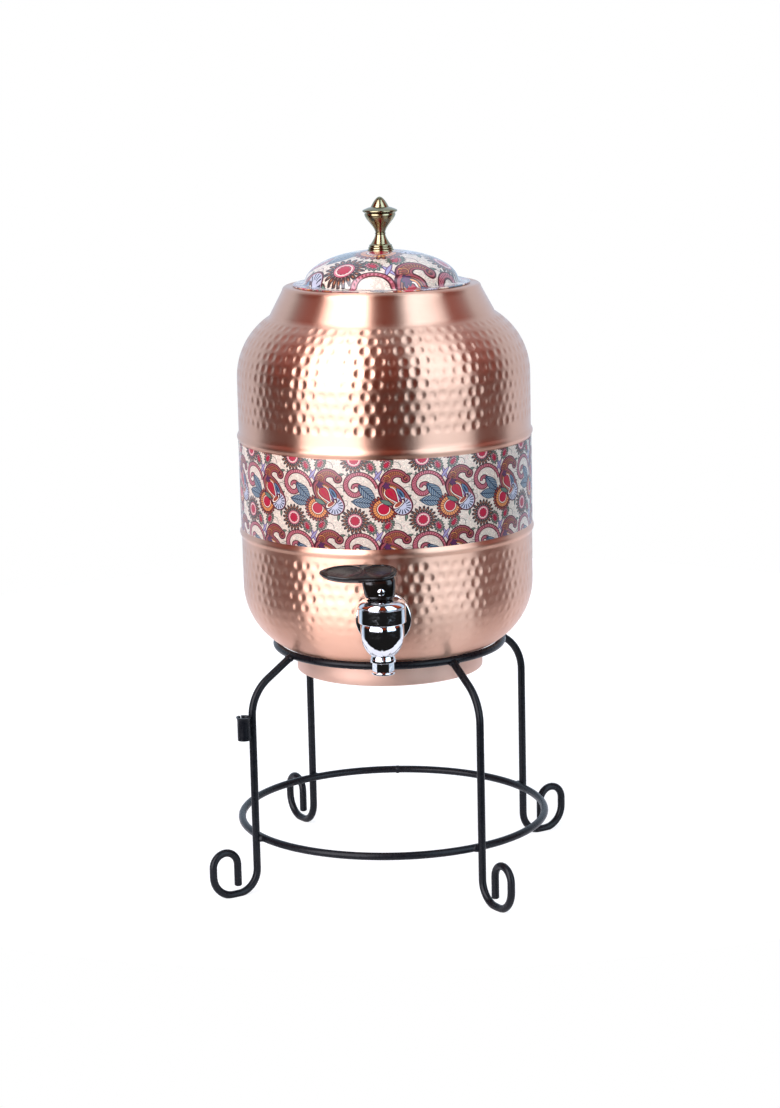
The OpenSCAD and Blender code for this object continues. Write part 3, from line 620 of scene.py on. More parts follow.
lower_inner += [(r, bottom_z + sheet_t) for r in (35, 20, 6)] + [(0, bottom_z + sheet_t)]


def hammer_depths(profile, first, last, fade, seed):
    """Depth of the hammer marks at every row and column of a turned section, in millimetres."""
    draws = np.random.default_rng(seed)
    steps = np.linalg.norm(np.diff(profile, axis=0), axis=1)
    travel = np.concatenate([[0], np.cumsum(steps)])
    angles = np.arange(tank_columns) * 2 * np.pi / tank_columns
    depths = np.zeros((len(profile), tank_columns))
    row_count = round((travel[last] - travel[first]) / mark_pitch)
    mark_rows = np.interp((np.arange(row_count) + 0.5) / row_count, (0, 1), (travel[first], travel[last]))
    for row, row_travel in enumerate(mark_rows):
        row_r = np.interp(row_travel, travel, profile[:, 0])
        count = round(2 * np.pi * row_r / mark_pitch)
        turn_step = 2 * np.pi / count
        shift = (row % 2) * turn_step / 2 + draws.uniform(-row_slip, row_slip) * turn_step
        drift_around = draws.uniform(-mark_drift, mark_drift, count)
        drift_along = draws.uniform(-mark_drift, mark_drift, count)
        strength = draws.uniform(*mark_strength, count)
        near = np.where(np.abs(travel - row_travel) < mark_pitch * mark_near)[0]
        index = np.round((angles - shift) / turn_step).astype(int)
        for neighbour in (-1, 0, 1):
            mark = (index + neighbour) % count
            around = ((angles - shift) - (index + neighbour) * turn_step) * row_r - drift_around[mark]
            along = travel[near][:, None] - row_travel - drift_along[mark][None]
            deep = mark_depth * strength[mark][None] * fade(row / max(1, len(mark_rows) - 1))
            dish = deep - (around[None] ** 2 + along ** 2) / (2 * mark_round_r)
            depths[near] = np.maximum(depths[near], dish)
    return depths


def turned(profile, columns, closed=False, depths=None, centre=axis):
    """A section of radius and height, in millimetres, turned about the tank's axis.
    A closed section is a loop; an open one starts and ends on the axis."""
    line = np.array(profile, float)
    rows = len(line)
    along = np.gradient(line, axis=0)
    along /= np.maximum(np.linalg.norm(along, axis=1, keepdims=True), 1e-9)
    reach = np.repeat(line[:, :1], columns, 1)
    height = np.repeat(line[:, 1:], columns, 1)
    if depths is not None:
        count = len(depths)
        reach[:count] -= depths * along[:count, 1:]
        height[:count] += depths * along[:count, :1]
    angles = np.arange(columns) * 2 * np.pi / columns
    across = centre.x + reach * MM * np.cos(angles)
    back = centre.y + reach * MM * np.sin(angles)
    grid = np.stack([across, back, height * MM], 2)
    if closed:
        return grid.reshape(-1, 3), grid_faces(rows, columns, True)
    points = np.concatenate([grid[1:-1].reshape(-1, 3), grid[:1, 0], grid[-1:, 0]])
    faces = grid_faces(rows - 2, columns)
    first_pole, last_pole = len(points) - 2, len(points) - 1
    last_ring = (rows - 3) * columns
    steps = [(column, (column + 1) % columns) for column in range(columns)]
    faces += [(first_pole, n, c) for c, n in steps]
    faces += [(last_pole, last_ring + c, last_ring + n) for c, n in steps]
    return points, faces


def rows_between(profile, low, high):
    """First and last row of a section between two heights."""
    inside = np.where((profile[:, 1] >= low) & (profile[:, 1] <= high))[0]
    return inside[0], inside[-1]


copper = mottled_finish(
    "brushed_copper", 38, (0.79, 0.45, 0.32), (0.81, 0.475, 0.345),
    (90, 0.355, 0.385, (1, 1, 6)), (60, 0.000012, (1, 1, 40)),
    Metallic=1.0, Anisotropic=1.0, Anisotropic_Rotation=0.25)
copper_tree = copper.node_tree
copper_way = add_node(copper_tree, "ShaderNodeTangent", direction_type="RADIAL", axis="Z")
feed(copper_tree, copper_tree.nodes["Principled BSDF"], "Tangent", copper_way.outputs[0])

upper_mark_rows = rows_between(upper_outer, upper_mark_foot, neck_z - 0.4)
lower_mark_rows = rows_between(lower_outer, wall_z - lower_round_r * 0.78, lower_bead_z - 4.6)
upper_marks = hammer_depths(upper_outer, *upper_mark_rows, lambda share: 1.0, upper_mark_seed)
lower_marks = hammer_depths(
    lower_outer, *lower_mark_rows, lambda share: min(1.0, 0.25 + 1.1 * share), lower_mark_seed)
upper_shape = turned(np.concatenate([upper_outer, upper_inner]), tank_columns, True, upper_marks)
lower_shape = turned(np.concatenate([lower_outer, lower_inner]), tank_columns, False, lower_marks)
add_piece("tank_upper_half", *upper_shape, copper, "tank", "copper", ("upper_shell",), sharp_degrees=50)
add_piece("tank_lower_half", *lower_shape, copper, "tank", "copper", ("lower_shell",), sharp_degrees=50)

foot_low, foot_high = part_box("foot_ring")
foot_r = (foot_high.x - foot_low.x) / 2 / MM
foot_z = foot_low.z / MM
foot_top = foot_high.z / MM
foot_edge = 0.45
foot_columns = 256
foot_inner_r = foot_r - sheet_t
foot_section = [(foot_inner_r, z) for z in (foot_top - 1.6, foot_z + 5, foot_z + foot_edge)]
foot_section += arc((foot_r - sheet_t / 2, foot_z + foot_edge), sheet_t / 2, 180, 360, 8)
foot_section += [(foot_r, foot_z + 5), (foot_r, foot_top - 2), (foot_r - 0.05, foot_top)]
matt_copper = mottled_finish(
    "matt_copper", 38, (0.72, 0.46, 0.36), (0.75, 0.50, 0.40), (90, 0.48, 0.54, (1, 1, 6)), Metallic=1.0)
foot_shape = turned(foot_section, foot_columns, True)
add_piece("tank_foot_ring", *foot_shape, matt_copper, "tank", "copper", ("foot_ring",), sharp_degrees=60)

# The printed band. A thin film printed with a traditional paisley in rows of curled drops, rosettes,
# leaves and scrolls on a cream ground, wrapped around the joint of the two halves with one upright seam.
tile_w = 40.6
tile_h = 38.7
print_group, print_in, print_out = new_group(
    "paisley_print", [("Place", "NodeSocketVector", None)], [("Color", "NodeSocketColor")])


def ink(red, green, blue):
    """A colour given by its screen values."""
    shares = [value / 255 for value in (red, green, blue)]
    return tuple(s / 12.92 if s <= 0.04045 else ((s + 0.055) / 1.055) ** 2.4 for s in shares)


cream = ink(216, 203, 184)
maroon = ink(66, 16, 28)
crimson = ink(160, 18, 48)
rust = ink(142, 62, 46)
ochre = ink(158, 96, 64)
yellow = ink(202, 134, 72)
pink = ink(184, 104, 116)
rose = ink(142, 68, 74)
plum = ink(82, 34, 72)
lilac = ink(138, 130, 164)
slate = ink(74, 104, 132)
navy = ink(32, 40, 58)
sage = ink(84, 106, 90)
brown = ink(84, 50, 40)
grey = ink(116, 110, 106)
silver = ink(172, 172, 186)
umber = ink(56, 44, 44)
mist = ink(150, 152, 138)
blush = ink(186, 150, 142)


def sums(operation, first, second=0.0, third=0.0):
    """One arithmetic step inside the print."""
    return math_node(print_group, operation, first, second, third)


def motif_place(x, y, turn=0.0):
    """Place in a motif's own axes: its middle at x and y of the tile, turned by degrees."""
    moved = add_node(print_group, "ShaderNodeVectorMath", operation="SUBTRACT")
    print_group.links.new(print_in.outputs["Place"], moved.inputs[0])
    moved.inputs[1].default_value = (x, y, 0)
    cell = add_node(print_group, "ShaderNodeVectorMath", operation="WRAP")
    print_group.links.new(moved.outputs[0], cell.inputs[0])
    cell.inputs[1].default_value = (tile_w / 2, tile_h / 2, 1)
    cell.inputs[2].default_value = (-tile_w / 2, -tile_h / 2, -1)
    spun = add_node(print_group, "ShaderNodeVectorRotate", rotation_type="Z_AXIS")
    print_group.links.new(cell.outputs[0], spun.inputs["Vector"])
    spun.inputs["Angle"].default_value = -math.radians(turn)
    axes = add_node(print_group, "ShaderNodeSeparateXYZ")
    print_group.links.new(spun.outputs[0], axes.inputs[0])
    return axes.outputs["X"], axes.outputs["Y"]


def polar(place):
    """Distance and angle of a place from its motif's middle."""
    x, y = place
    away = sums("SQRT", sums("ADD", sums("MULTIPLY", x, x), sums("MULTIPLY", y, y)))
    return away, sums("ARCTAN2", y, x)


def oval_depth(place, long, wide):
    """Signed distance from an oval's edge, negative inside."""
    x, y = place
    away = sums("SQRT", sums("ADD", sums("POWER", sums("ABSOLUTE", sums("DIVIDE", x, long)), 2.0),
                             sums("POWER", sums("ABSOLUTE", sums("DIVIDE", y, wide)), 2.0)))
    return sums("MULTIPLY", sums("SUBTRACT", away, 1.0), wide)


def leaf_depth(place, long, wide):
    """Signed distance from the edge of a leaf with two points, negative inside."""
    x, y = place
    swell = sums("SUBTRACT", 1.0, sums("POWER", sums("ABSOLUTE", sums("DIVIDE", x, long)), 1.8))
    return sums("SUBTRACT", sums("ABSOLUTE", y), sums("MULTIPLY", swell, wide))


def drop_depth(place, long, wide):
    """Signed distance from the edge of a drop that is round at one end and pointed at the other."""
    x, y = place
    share = sums("DIVIDE", x, long)
    swell = sums("SQRT", sums("MAXIMUM", sums("SUBTRACT", 1.0, sums("MULTIPLY", share, share)), 0.0))
    taper = sums("MULTIPLY_ADD", share, -0.45, 0.62)
    edge = sums("MULTIPLY", sums("MULTIPLY", swell, taper), wide / 0.62)
    beyond = sums("MULTIPLY", sums("MAXIMUM", sums("SUBTRACT", sums("ABSOLUTE", share), 1.0), 0.0), 50.0)
    return sums("ADD", sums("SUBTRACT", sums("ABSOLUTE", y), edge), beyond)


def curl_depth(place, first_r, last_r, start, sweep, first_w, last_w):
    """Signed distance from the edge of a tapering curl, and how far along it the place lies."""
    away, angle = polar(place)
    run = sums("WRAP", sums("SUBTRACT", angle, math.radians(start)), 2 * math.pi, 0.0)
    share = sums("DIVIDE", run, math.radians(sweep))
    spine = sums("MULTIPLY_ADD", share, last_r - first_r, first_r)
    width = sums("MULTIPLY_ADD", share, last_w - first_w, first_w)
    depth = sums("SUBTRACT", sums("ABSOLUTE", sums("SUBTRACT", away, spine)), width)
    beyond = sums("MULTIPLY", sums("MAXIMUM", sums("SUBTRACT", share, 1.0), 0.0), 60.0)
    return sums("ADD", depth, beyond), share


def petal_depth(place, count, valley_r, tip_r):
    """Signed distance from the edge of a ring of round petals, negative inside."""
    away, angle = polar(place)
    swell = sums("ABSOLUTE", sums("SINE", sums("MULTIPLY", angle, count / 2)))
    edge = sums("MULTIPLY_ADD", sums("POWER", swell, 0.6), tip_r - valley_r, valley_r)
    return sums("SUBTRACT", away, edge)


def spoke_depth(place, count, middle_r, half_long, half_wide):
    """Signed distance from the edge of separate oval petals set in a ring, negative inside."""
    away, angle = polar(place)
    step = 2 * math.pi / count
    offset = sums("SUBTRACT", sums("FRACT", sums("DIVIDE", angle, step)), 0.5)
    across = sums("MULTIPLY", sums("MULTIPLY", offset, step), away)
    return oval_depth((sums("SUBTRACT", away, middle_r), across), half_long, half_wide)


def inside(depth, start):
    """One from a depth below a motif's edge inwards."""
    return sums("LESS_THAN", depth, -start)


print_colour = None


def lay_ink(mask, colour):
    """Lays one more ink over what is printed so far."""
    global print_colour
    node = add_node(print_group, "ShaderNodeMix", data_type="RGBA")
    feed(print_group, node, "Factor", mask)
    if print_colour is None:
        node.inputs["A"].default_value = (*cream, 1)
    else:
        print_group.links.new(print_colour, node.inputs["A"])
    node.inputs["B"].default_value = (*colour, 1)
    print_colour = node.outputs["Result"]


def lay_bands(depth, *bands):
    """Lays inks one inside the other: each has the depth below the edge at which it starts."""
    for start, colour in bands:
        lay_ink(inside(depth, start), colour)


def lay_stripes(value, rate, share, mask, colour):
    """Lays an ink on a share of evenly repeated stripes of a value, where a mask is one."""
    stripe = sums("LESS_THAN", sums("FRACT", sums("MULTIPLY", value, rate)), share)
    lay_ink(sums("MULTIPLY", stripe, mask), colour)


# Fine scribbles and hairline tendrils in the open ground
scribble = add_node(print_group, "ShaderNodeTexNoise")
print_group.links.new(print_in.outputs["Place"], scribble.inputs["Vector"])
scribble.inputs["Scale"].default_value = 0.48
scribble.inputs["Detail"].default_value = 1.0
for level, colour in ((0.38, blush), (0.44, mist), (0.50, blush), (0.56, mist), (0.62, blush)):
    scribble_away = sums("ABSOLUTE", sums("SUBTRACT", scribble.outputs["Fac"], level))
    lay_ink(sums("LESS_THAN", scribble_away, 0.014), colour)
for tendril_x, tendril_y, *tendril_curl in (
    (9.5, 4.5, 4.2, 1.4, 20, 300, 0.26, 0.18), (13.2, -1.5, 3.0, 1.0, 150, 320, 0.24, 0.16),
    (12.0, 13.5, 4.6, 1.2, 250, 310, 0.26, 0.16), (-29.5, -4.5, 3.2, 1.0, 60, 300, 0.24, 0.16),
    (2.5, -17.5, 3.6, 1.2, 340, 300, 0.26, 0.16), (-11.0, -13.0, 2.6, 0.9, 100, 310, 0.24, 0.16),
):
    tendril_depth = curl_depth(motif_place(tendril_x, tendril_y), *tendril_curl)[0]
    lay_bands(tendril_depth, (0.0, grey))
for sprig in (
    (13.6, 7.4, 62), (10.6, 15.8, 18), (15.4, 15.0, 100), (12.8, -8.6, 140),
    (-30.4, 1.6, 30), (0.8, -15.2, 70), (-10.4, -17.4, 130), (-31.6, -11.2, 80),
):
    lay_bands(leaf_depth(motif_place(*sprig), 2.7, 1.0), (0.0, umber), (0.4, sage))

# Twin buds with scalloped edges above each curled drop, on one short stem
for bud_x, bud_y, bud_turn in ((-12.0, 21.0, 112), (-2.0, 22.4, 52)):
    stem_place = motif_place(-7.6, 15.4, bud_turn)
    lay_bands(leaf_depth(stem_place, 5.2, 1.1), (0.0, plum), (0.4, lilac))
    bud_place = motif_place(bud_x, bud_y, bud_turn)
    scallop = sums("MULTIPLY", sums("SINE", sums("MULTIPLY", polar(bud_place)[1], 13.0)), 0.4)
    bud_depth = sums("SUBTRACT", oval_depth(bud_place, 4.6, 3.3), scallop)
    lay_bands(bud_depth, (0.0, umber), (0.5, sage), (1.1, umber), (1.35, pink))
    lay_stripes(bud_place[0], 0.85, 0.4, inside(bud_depth, 1.35), brown)
    lay_bands(drop_depth(bud_place, 2.1, 0.9), (-0.25, maroon), (0.1, crimson))

# Scrolls that rise behind each drop, curl over the leaves and roll up
for scroll_curl in ((12.8, 4.6, 0, 200, 1.2, 2.0), (4.6, 1.5, 200, 345, 2.0, 1.2)):
    scroll_depth, scroll_share = curl_depth(motif_place(-20.9, 7.2), *scroll_curl)
    lay_bands(scroll_depth, (0.0, maroon), (0.6, rose), (1.3, maroon), (1.6, rose))
    lay_stripes(scroll_share, 24.0, 0.45, inside(scroll_depth, 0.85), pink)

# Pairs of slate leaves with ribs
for leaf_x, leaf_y, leaf_turn, leaf_long in ((-14.2, 4.6, -45, 7.4), (-16.4, -1.6, -6, 7.6)):
    leaf_place = motif_place(leaf_x, leaf_y, leaf_turn)
    slate_depth = leaf_depth(leaf_place, leaf_long, 3.5)
    lay_bands(slate_depth, (0.0, navy), (0.45, slate))
    rib_run = sums("MULTIPLY_ADD", sums("ABSOLUTE", leaf_place[1]), -1.1, leaf_place[0])
    slate_inside = inside(slate_depth, 0.45)
    lay_stripes(rib_run, 0.62, 0.3, slate_inside, navy)
    lay_stripes(sums("ADD", rib_run, 0.6), 0.62, 0.22, slate_inside, mist)
    midrib = sums("LESS_THAN", sums("ABSOLUTE", leaf_place[1]), 0.3)
    lay_ink(sums("MULTIPLY", midrib, inside(slate_depth, 0.0)), navy)

# Half fans behind the foot of each curled drop
fan_place = motif_place(-4.4, -5.8)
lay_bands(spoke_depth(fan_place, 24, 7.4, 1.5, 0.95), (0.0, maroon), (0.5, rust))
lay_bands(oval_depth(fan_place, 6.7, 6.7), (0.0, maroon), (0.5, yellow))
fan_away, fan_turn = polar(fan_place)
lay_stripes(fan_turn, 24 / (2 * math.pi), 0.4, sums("LESS_THAN", fan_away, 6.2), rust)
lay_bands(oval_depth(fan_place, 4.3, 4.3), (0.0, maroon), (0.45, cream), (0.9, crimson))

# Curled drops: a body, a hooked head and a round foot run together
body_depth = oval_depth(motif_place(2.3, 2.2, 132), 12.6, 7.3)
hook_depth, hook_share = curl_depth(motif_place(2.9, 10.9), 6.5, 5.2, 14, 158, 2.0, 4.0)
curl_end_depth = oval_depth(motif_place(9.0, 13.2), 3.0, 3.0)
lobe_place = motif_place(6.8, -4.0)
lobe_depth = oval_depth(lobe_place, 6.1, 6.1)
drop_foot = sums("SMOOTH_MIN", body_depth, lobe_depth, 3.0)
drop_edge = sums("SMOOTH_MIN", drop_foot, sums("MINIMUM", hook_depth, curl_end_depth), 1.2)
lay_bands(drop_edge, (0.0, maroon), (0.75, rose), (1.5, maroon), (1.85, ochre), (2.6, rust))
lay_stripes(hook_share, 15.0, 0.45, inside(hook_depth, 1.85), brown)
body_turn = polar(motif_place(0.4, 2.6))[1]
lay_stripes(body_turn, 30 / (2 * math.pi), 0.4, inside(body_depth, 1.85), ochre)
heart_depth = oval_depth(motif_place(2.2, 2.6, 132), 8.8, 4.8)
lay_bands(heart_depth, (0.0, maroon), (0.5, yellow), (0.9, plum))
lay_stripes(body_turn, 44 / (2 * math.pi), 0.45, inside(heart_depth, 0.9), rose)
lay_bands(leaf_depth(motif_place(5.9, 3.7, -58), 5.0, 1.9), (0.0, maroon), (0.45, slate), (1.3, navy))

# The round foot of each drop, with a fan of pale strokes and a crescent
lay_bands(lobe_depth, (0.75, silver))
lobe_away, lobe_turn = polar(lobe_place)
lobe_ring = sums("LESS_THAN", sums("ABSOLUTE", sums("SUBTRACT", lobe_away, 3.7)), 1.4)
lay_stripes(lobe_turn, 15 / (2 * math.pi), 0.42, lobe_ring, navy)
lay_bands(oval_depth(motif_place(4.4, -2.8, 38), 4.9, 2.1), (0.0, maroon), (0.5, cream), (0.9, rust))

# The heart of each drop: a crimson drop, a plum flower and two small leaves
lay_bands(leaf_depth(motif_place(4.2, 1.8, -56), 5.0, 1.3), (0.0, maroon), (0.4, plum), (0.9, lilac))
lay_bands(leaf_depth(motif_place(-2.8, -1.6, -24), 4.4, 1.6), (0.0, navy), (0.45, sage))
crimson_depth = drop_depth(motif_place(1.0, 2.7, -54), 5.4, 2.5)
lay_bands(crimson_depth, (-0.65, cream), (-0.15, maroon), (0.3, crimson), (1.2, rust), (1.6, crimson))
lay_bands(petal_depth(motif_place(-2.4, 8.9), 5, 1.2, 2.4), (0.0, navy), (0.5, plum))
crest_depth = curl_depth(motif_place(-2.0, 13.2), 1.1, 2.4, 200, 300, 0.35, 0.6)[0]
lay_bands(crest_depth, (0.0, maroon), (0.35, yellow))
lay_bands(curl_depth(motif_place(9.0, 13.2), 1.6, 0.4, 90, 320, 0.5, 0.3)[0], (0.0, maroon))

# Rosettes between the drops: separate petals, a pale ring and a jagged heart
rosette_place = motif_place(-21.6, -13.2)
lay_bands(spoke_depth(rosette_place, 19, 6.5, 2.3, 1.0), (0.0, umber), (0.55, brown), (0.75, ochre))
lay_bands(oval_depth(rosette_place, 4.7, 4.7), (0.0, maroon), (0.45, pink), (1.2, cream), (1.6, pink))
lay_bands(petal_depth(rosette_place, 11, 2.0, 3.1), (0.0, maroon), (0.3, crimson))
print_group.links.new(print_colour, print_out.inputs["Color"])


def printed_finish(name, **sockets):
    """A printed surface: the paisley laid by the print map, under a clear coat."""
    material, tree, shader = new_finish(name, **sockets)
    place = add_node(tree, "ShaderNodeUVMap", uv_map="print_map")
    pattern = add_node(tree, "ShaderNodeGroup", node_tree=print_group)
    tree.links.new(place.outputs[0], pattern.inputs["Place"])
    tree.links.new(pattern.outputs["Color"], shader.inputs["Base Color"])
    tree.links.new(mottle(tree, 240, 0.30, 0.42), shader.inputs["Roughness"])
    bump_from(tree, shader, mottle(tree, 700, 0, 1), 0.00002)
    return material


def set_print_map(piece, place_of):
    """Writes the print's place, in millimetres, to every corner of a mesh."""
    mesh = piece.data
    layer = mesh.uv_layers.new(name="print_map")
    for polygon in mesh.polygons:
        corners = [mesh.vertices[i].co for i in polygon.vertices]
        for loop, place in zip(polygon.loop_indices, place_of(corners)):
            layer.data[loop].uv = place


band_low, band_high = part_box("printed_band")
band_inner_r = body_r + 0.05
band_t = 0.3
band_seam = 0.4
band_seam_turn = 48
band_columns = 360
drop_turn = -22
drop_fall = 25.3
print_stretch = 1.055
band_z_low = band_low.z / MM
band_z_high = band_high.z / MM
seam_half = band_seam / 2 / body_r
band_start = math.radians(band_seam_turn) + seam_half
band_section = [(band_inner_r, band_z_low), (band_inner_r + band_t * 0.6, band_z_low)]
for share in (0.004, 0.25, 0.5, 0.75, 0.996):
    band_section.append((band_inner_r + band_t, band_z_low + (band_z_high - band_z_low) * share))
band_section += [(band_inner_r + band_t * 0.6, band_z_high), (band_inner_r, band_z_high)]
band_shape = open_sleeve(
    np.array(band_section) * MM, np.array(axis), np.array([1, 0, 0]), np.array([0, 1, 0]),
    math.radians(band_seam_turn), seam_half, band_columns)
band_print = printed_finish("printed_film", Specular_IOR_Level=0.35, Coat_Weight=0.3, Coat_Roughness=0.2)
band = add_piece("printed_wrap", *band_shape, band_print, "tank", "print", ("printed_band",))


def band_place(corners):
    """Place on the print: along the wrap from a curled drop's middle, and up from the same."""
    turns = [math.atan2(c.x - axis.x, -(c.y - axis.y)) % (2 * math.pi) for c in corners]
    middle = band_start % (2 * math.pi)
    run = [(turn - middle + 1e-4) % (2 * math.pi) for turn in turns]
    if max(run) - min(run) > math.pi:
        run = [part + 2 * math.pi if part < math.pi else part for part in run]
    shift = middle - 2 * math.pi - math.radians(drop_turn)
    drop_z = band_z_high - drop_fall
    return [((part + shift) * body_r / print_stretch, c.z / MM - drop_z) for part, c in zip(run, corners)]


set_print_map(band, band_place)

# The lid. Spun copper with a low dome and a flat flange, printed with the same paisley three
# quarters larger and lacquered. A sleeve soldered underneath keeps it in the tank's mouth.
lid_low, lid_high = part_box("lid_dome")
lid_flange_r = (lid_high.x - lid_low.x) / 2 / MM
lid_z = lid_low.z / MM
lid_top = lid_high.z / MM
lid_flange_t = 1.2
lid_sheet_t = 0.8
dome_r = 50.0
dome_h = lid_top - lid_z - lid_flange_t
lid_print_scale = 1.75
lid_print_turn = math.radians(-24)
lid_print_shift = (-0.9, 0.5)
lid_print_draw = 0.93
dome_foot = lid_z + lid_flange_t
dome_steps = 40
lid_columns = 240
sleeve_columns = 180
dome_soft = 1.6


def dome_rows(thinner, start, end, steps):
    """Rows of the dome's section, or of one that is smaller by a thickness, at angles from its top."""
    return [((dome_r - thinner) * math.sin(a), dome_foot + (dome_h - thinner) * math.cos(a))
            for a in np.radians(np.linspace(start, end, steps))]


lid_section = [(0, lid_top)]
lid_section += dome_rows(0, 3, 86, dome_steps)
lid_section += [(dome_r + 0.25, dome_foot + 0.5), (dome_r + dome_soft, dome_foot)]
lid_section += [(dome_r + 3.5, dome_foot - 0.05), (lid_flange_r - 1.2, dome_foot - 0.05)]
edge_half = lid_flange_t / 2
lid_section += arc((lid_flange_r - edge_half, lid_z + edge_half), edge_half, 80, -90, 9)
lid_section += [(dome_r + 0.6, lid_z), (dome_r - lid_sheet_t, lid_z + 0.2)]
lid_section += dome_rows(lid_sheet_t, 86, 4, 20)
lid_section += [(0, lid_top - lid_sheet_t)]
lid_print = printed_finish(
    "printed_lid_lacquer", Specular_IOR_Level=0.3, Coat_Weight=1.0, Coat_Roughness=0.06)
lid_shape = turned(lid_section, lid_columns)
lid = add_piece("printed_lid", *lid_shape, lid_print, "lid", "lid_print", ("lid_dome",), sharp_degrees=60)


def lid_place(corners):
    """Place on the print: the dome laid flat around its middle, larger than on the band."""
    places = []
    for corner in corners:
        x, y = (corner.x - axis.x) / MM, (corner.y - axis.y) / MM
        reach = math.hypot(x, y)
        lie = 1.0
        if reach > 1e-6:
            lie = math.asin(min(1, reach / lid_flange_r)) * lid_flange_r / reach * lid_print_draw
        u, v = x * lie / lid_print_scale, y * lie / lid_print_scale
        c, s = math.cos(lid_print_turn), math.sin(lid_print_turn)
        places.append((c * u - s * v + lid_print_shift[0], s * u + c * v + lid_print_shift[1]))
    return places


set_print_map(lid, lid_place)

sleeve_low, sleeve_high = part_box("lid_sleeve")
sleeve_r = (sleeve_high.x - sleeve_low.x) / 2 / MM
sleeve_foot = sleeve_low.z / MM
sleeve_top = sleeve_high.z / MM
sleeve_edge = lid_sheet_t / 2
sleeve_section = [(sleeve_r - lid_sheet_t, sleeve_top), (sleeve_r - lid_sheet_t, sleeve_foot + 4)]
sleeve_section += arc((sleeve_r - sleeve_edge, sleeve_foot + sleeve_edge), sleeve_edge, 180, 360, 7)
sleeve_section += [(sleeve_r, sleeve_foot + 4), (sleeve_r, sleeve_top)]
sleeve_shape = turned(sleeve_section, sleeve_columns, True)
add_piece("lid_neck_sleeve", *sleeve_shape, copper, "lid", "copper", ("lid_sleeve",), sharp_degrees=60)

# The knob. Turned from brass bar in one piece: flared base with fine rings, waist, cup, thick rim and
# a rounded cap. A steel screw and a dished washer under the dome hold it.
knob_low, knob_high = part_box("lid_knob")
knob_top = knob_high.z / MM
knob_base_r = 8.7
knob_waist_r = 3.2
knob_rim_r = (knob_high.x - knob_low.x) / 2 / MM
knob_foot = knob_low.z / MM
knob_seat = lid_top
knob_flare_h = 10.5
knob_waist_z = knob_seat + knob_flare_h
knob_cup_h = 13.4
knob_rim_z = knob_seat + 25.2
knob_cap_r = 5.8
knob_cap_z = knob_rim_z + 2.3
screw_r = 2.05
screw_depth = 8.5
knob_columns = 96


def ring_bulge(r, z, proud, half):
    """A small turned ring standing proud of a shaft."""
    return [(r + proud * math.cos(a), z + half * math.sin(a)) for a in np.radians(np.linspace(-90, 90, 7))]


knob_section = [(0, knob_seat + screw_depth), (screw_r, knob_seat + screw_depth)]
knob_section += [(screw_r, knob_seat + 0.1)]
knob_section += [(knob_base_r - 2.2, knob_foot + 0.35), (knob_base_r - 0.3, knob_foot)]
knob_section += ring_bulge(knob_base_r - 0.35, knob_seat - 0.55, 0.35, 0.85)
knob_section += ring_bulge(knob_base_r - 1.05, knob_seat + 1.15, 0.35, 0.7)
knob_section += ring_bulge(knob_base_r - 1.6, knob_seat + 2.6, 0.3, 0.6)
for share in np.linspace(0.32, 0.93, 9):
    flare = (1 - share) ** 1.6
    flare_r = knob_waist_r + (knob_base_r - knob_waist_r) * flare * 1.15
    knob_section.append((flare_r, knob_seat + knob_flare_h * share))
knob_section += ring_bulge(knob_waist_r - 0.2, knob_waist_z, 0.55, 0.55)
for share in np.linspace(0.06, 0.9, 12):
    swell = (1 - math.cos(math.pi * share)) / 2
    cup_r = knob_waist_r + (knob_rim_r - 1.0 - knob_waist_r) * swell
    knob_section.append((cup_r, knob_waist_z + knob_cup_h * share))
knob_section += [(knob_rim_r - 1.5, knob_rim_z - 1.8), (knob_rim_r - 0.9, knob_rim_z - 1.1)]
knob_section += arc((knob_rim_r - 0.75, knob_rim_z - 0.2), 0.75, -60, 60, 8)
knob_section += [(knob_rim_r - 1.6, knob_rim_z + 1.0), (knob_cap_r + 1.9, knob_rim_z + 1.75)]
knob_section += [(knob_cap_r + 0.6, knob_rim_z + 2.1)]
for share in np.linspace(0.0, 1.0, 16)[:-1] ** 0.7:
    knob_section.append((knob_cap_r * (1 - share) ** 0.55, knob_cap_z + (knob_top - knob_cap_z) * share))
knob_section += [(0, knob_top)]

brass = mottled_finish(
    "turned_brass", 160, (0.24, 0.21, 0.12), (0.34, 0.30, 0.18),
    (300, 0.07, 0.15, (1, 1, 3)), (120, 0.00003, (1, 1, 30)), Metallic=1.0)
knob_shape = turned(knob_section, knob_columns)
add_piece("turned_knob", *knob_shape, brass, "lid", "brass", ("lid_knob",), sharp_degrees=40)

steel = mottled_finish(
    "plain_steel", 400, (0.50, 0.51, 0.52), (0.64, 0.65, 0.66), (900, 0.24, 0.40), Metallic=1.0)


def keep_node(name, material):
    """Gives a carried-over node its finish."""
    node_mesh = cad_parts[name].data
    node_mesh.materials.clear()
    node_mesh.materials.append(material)


for name in ("knob_washer", "knob_screw"):
    keep_node(name, steel)

# The tap. A brass casting, polished and chromed: barrel, bowl and nozzle in one with a flanged shank that
# passes the wall. A rubber washer on either side seals it, and a brass nut inside the tank draws it tight.
tap_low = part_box("tap_body")[0]
stem_low, stem_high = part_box("tap_stem")
tap_axis = Vector(((stem_low.x + stem_high.x) / 2, (stem_low.y + stem_high.y) / 2, 0))
tap_foot = tap_low.z / MM
tap_drop = 29.5
tap_z = tap_foot + tap_drop
barrel_r = 14.85
barrel_up = 13.0
barrel_foot = 3.2
bowl_r = 13.5
bowl_round_z = -4.0
bowl_round_h = 16.4
bowl_throat = 0.7
bowl_throat_h = 2.7
bowl_foot = -20.5
collar_r = 8.1
nozzle_r = 6.5
nozzle_flat = 6.0
lip_r = 7.35
outlet_r = 4.5
chamber_r = 11.0
seat_down = 10.0
flange_r = 17.5
shank_r = 8.0
shank_neck_r = 10.0
waterway_r = 5.0
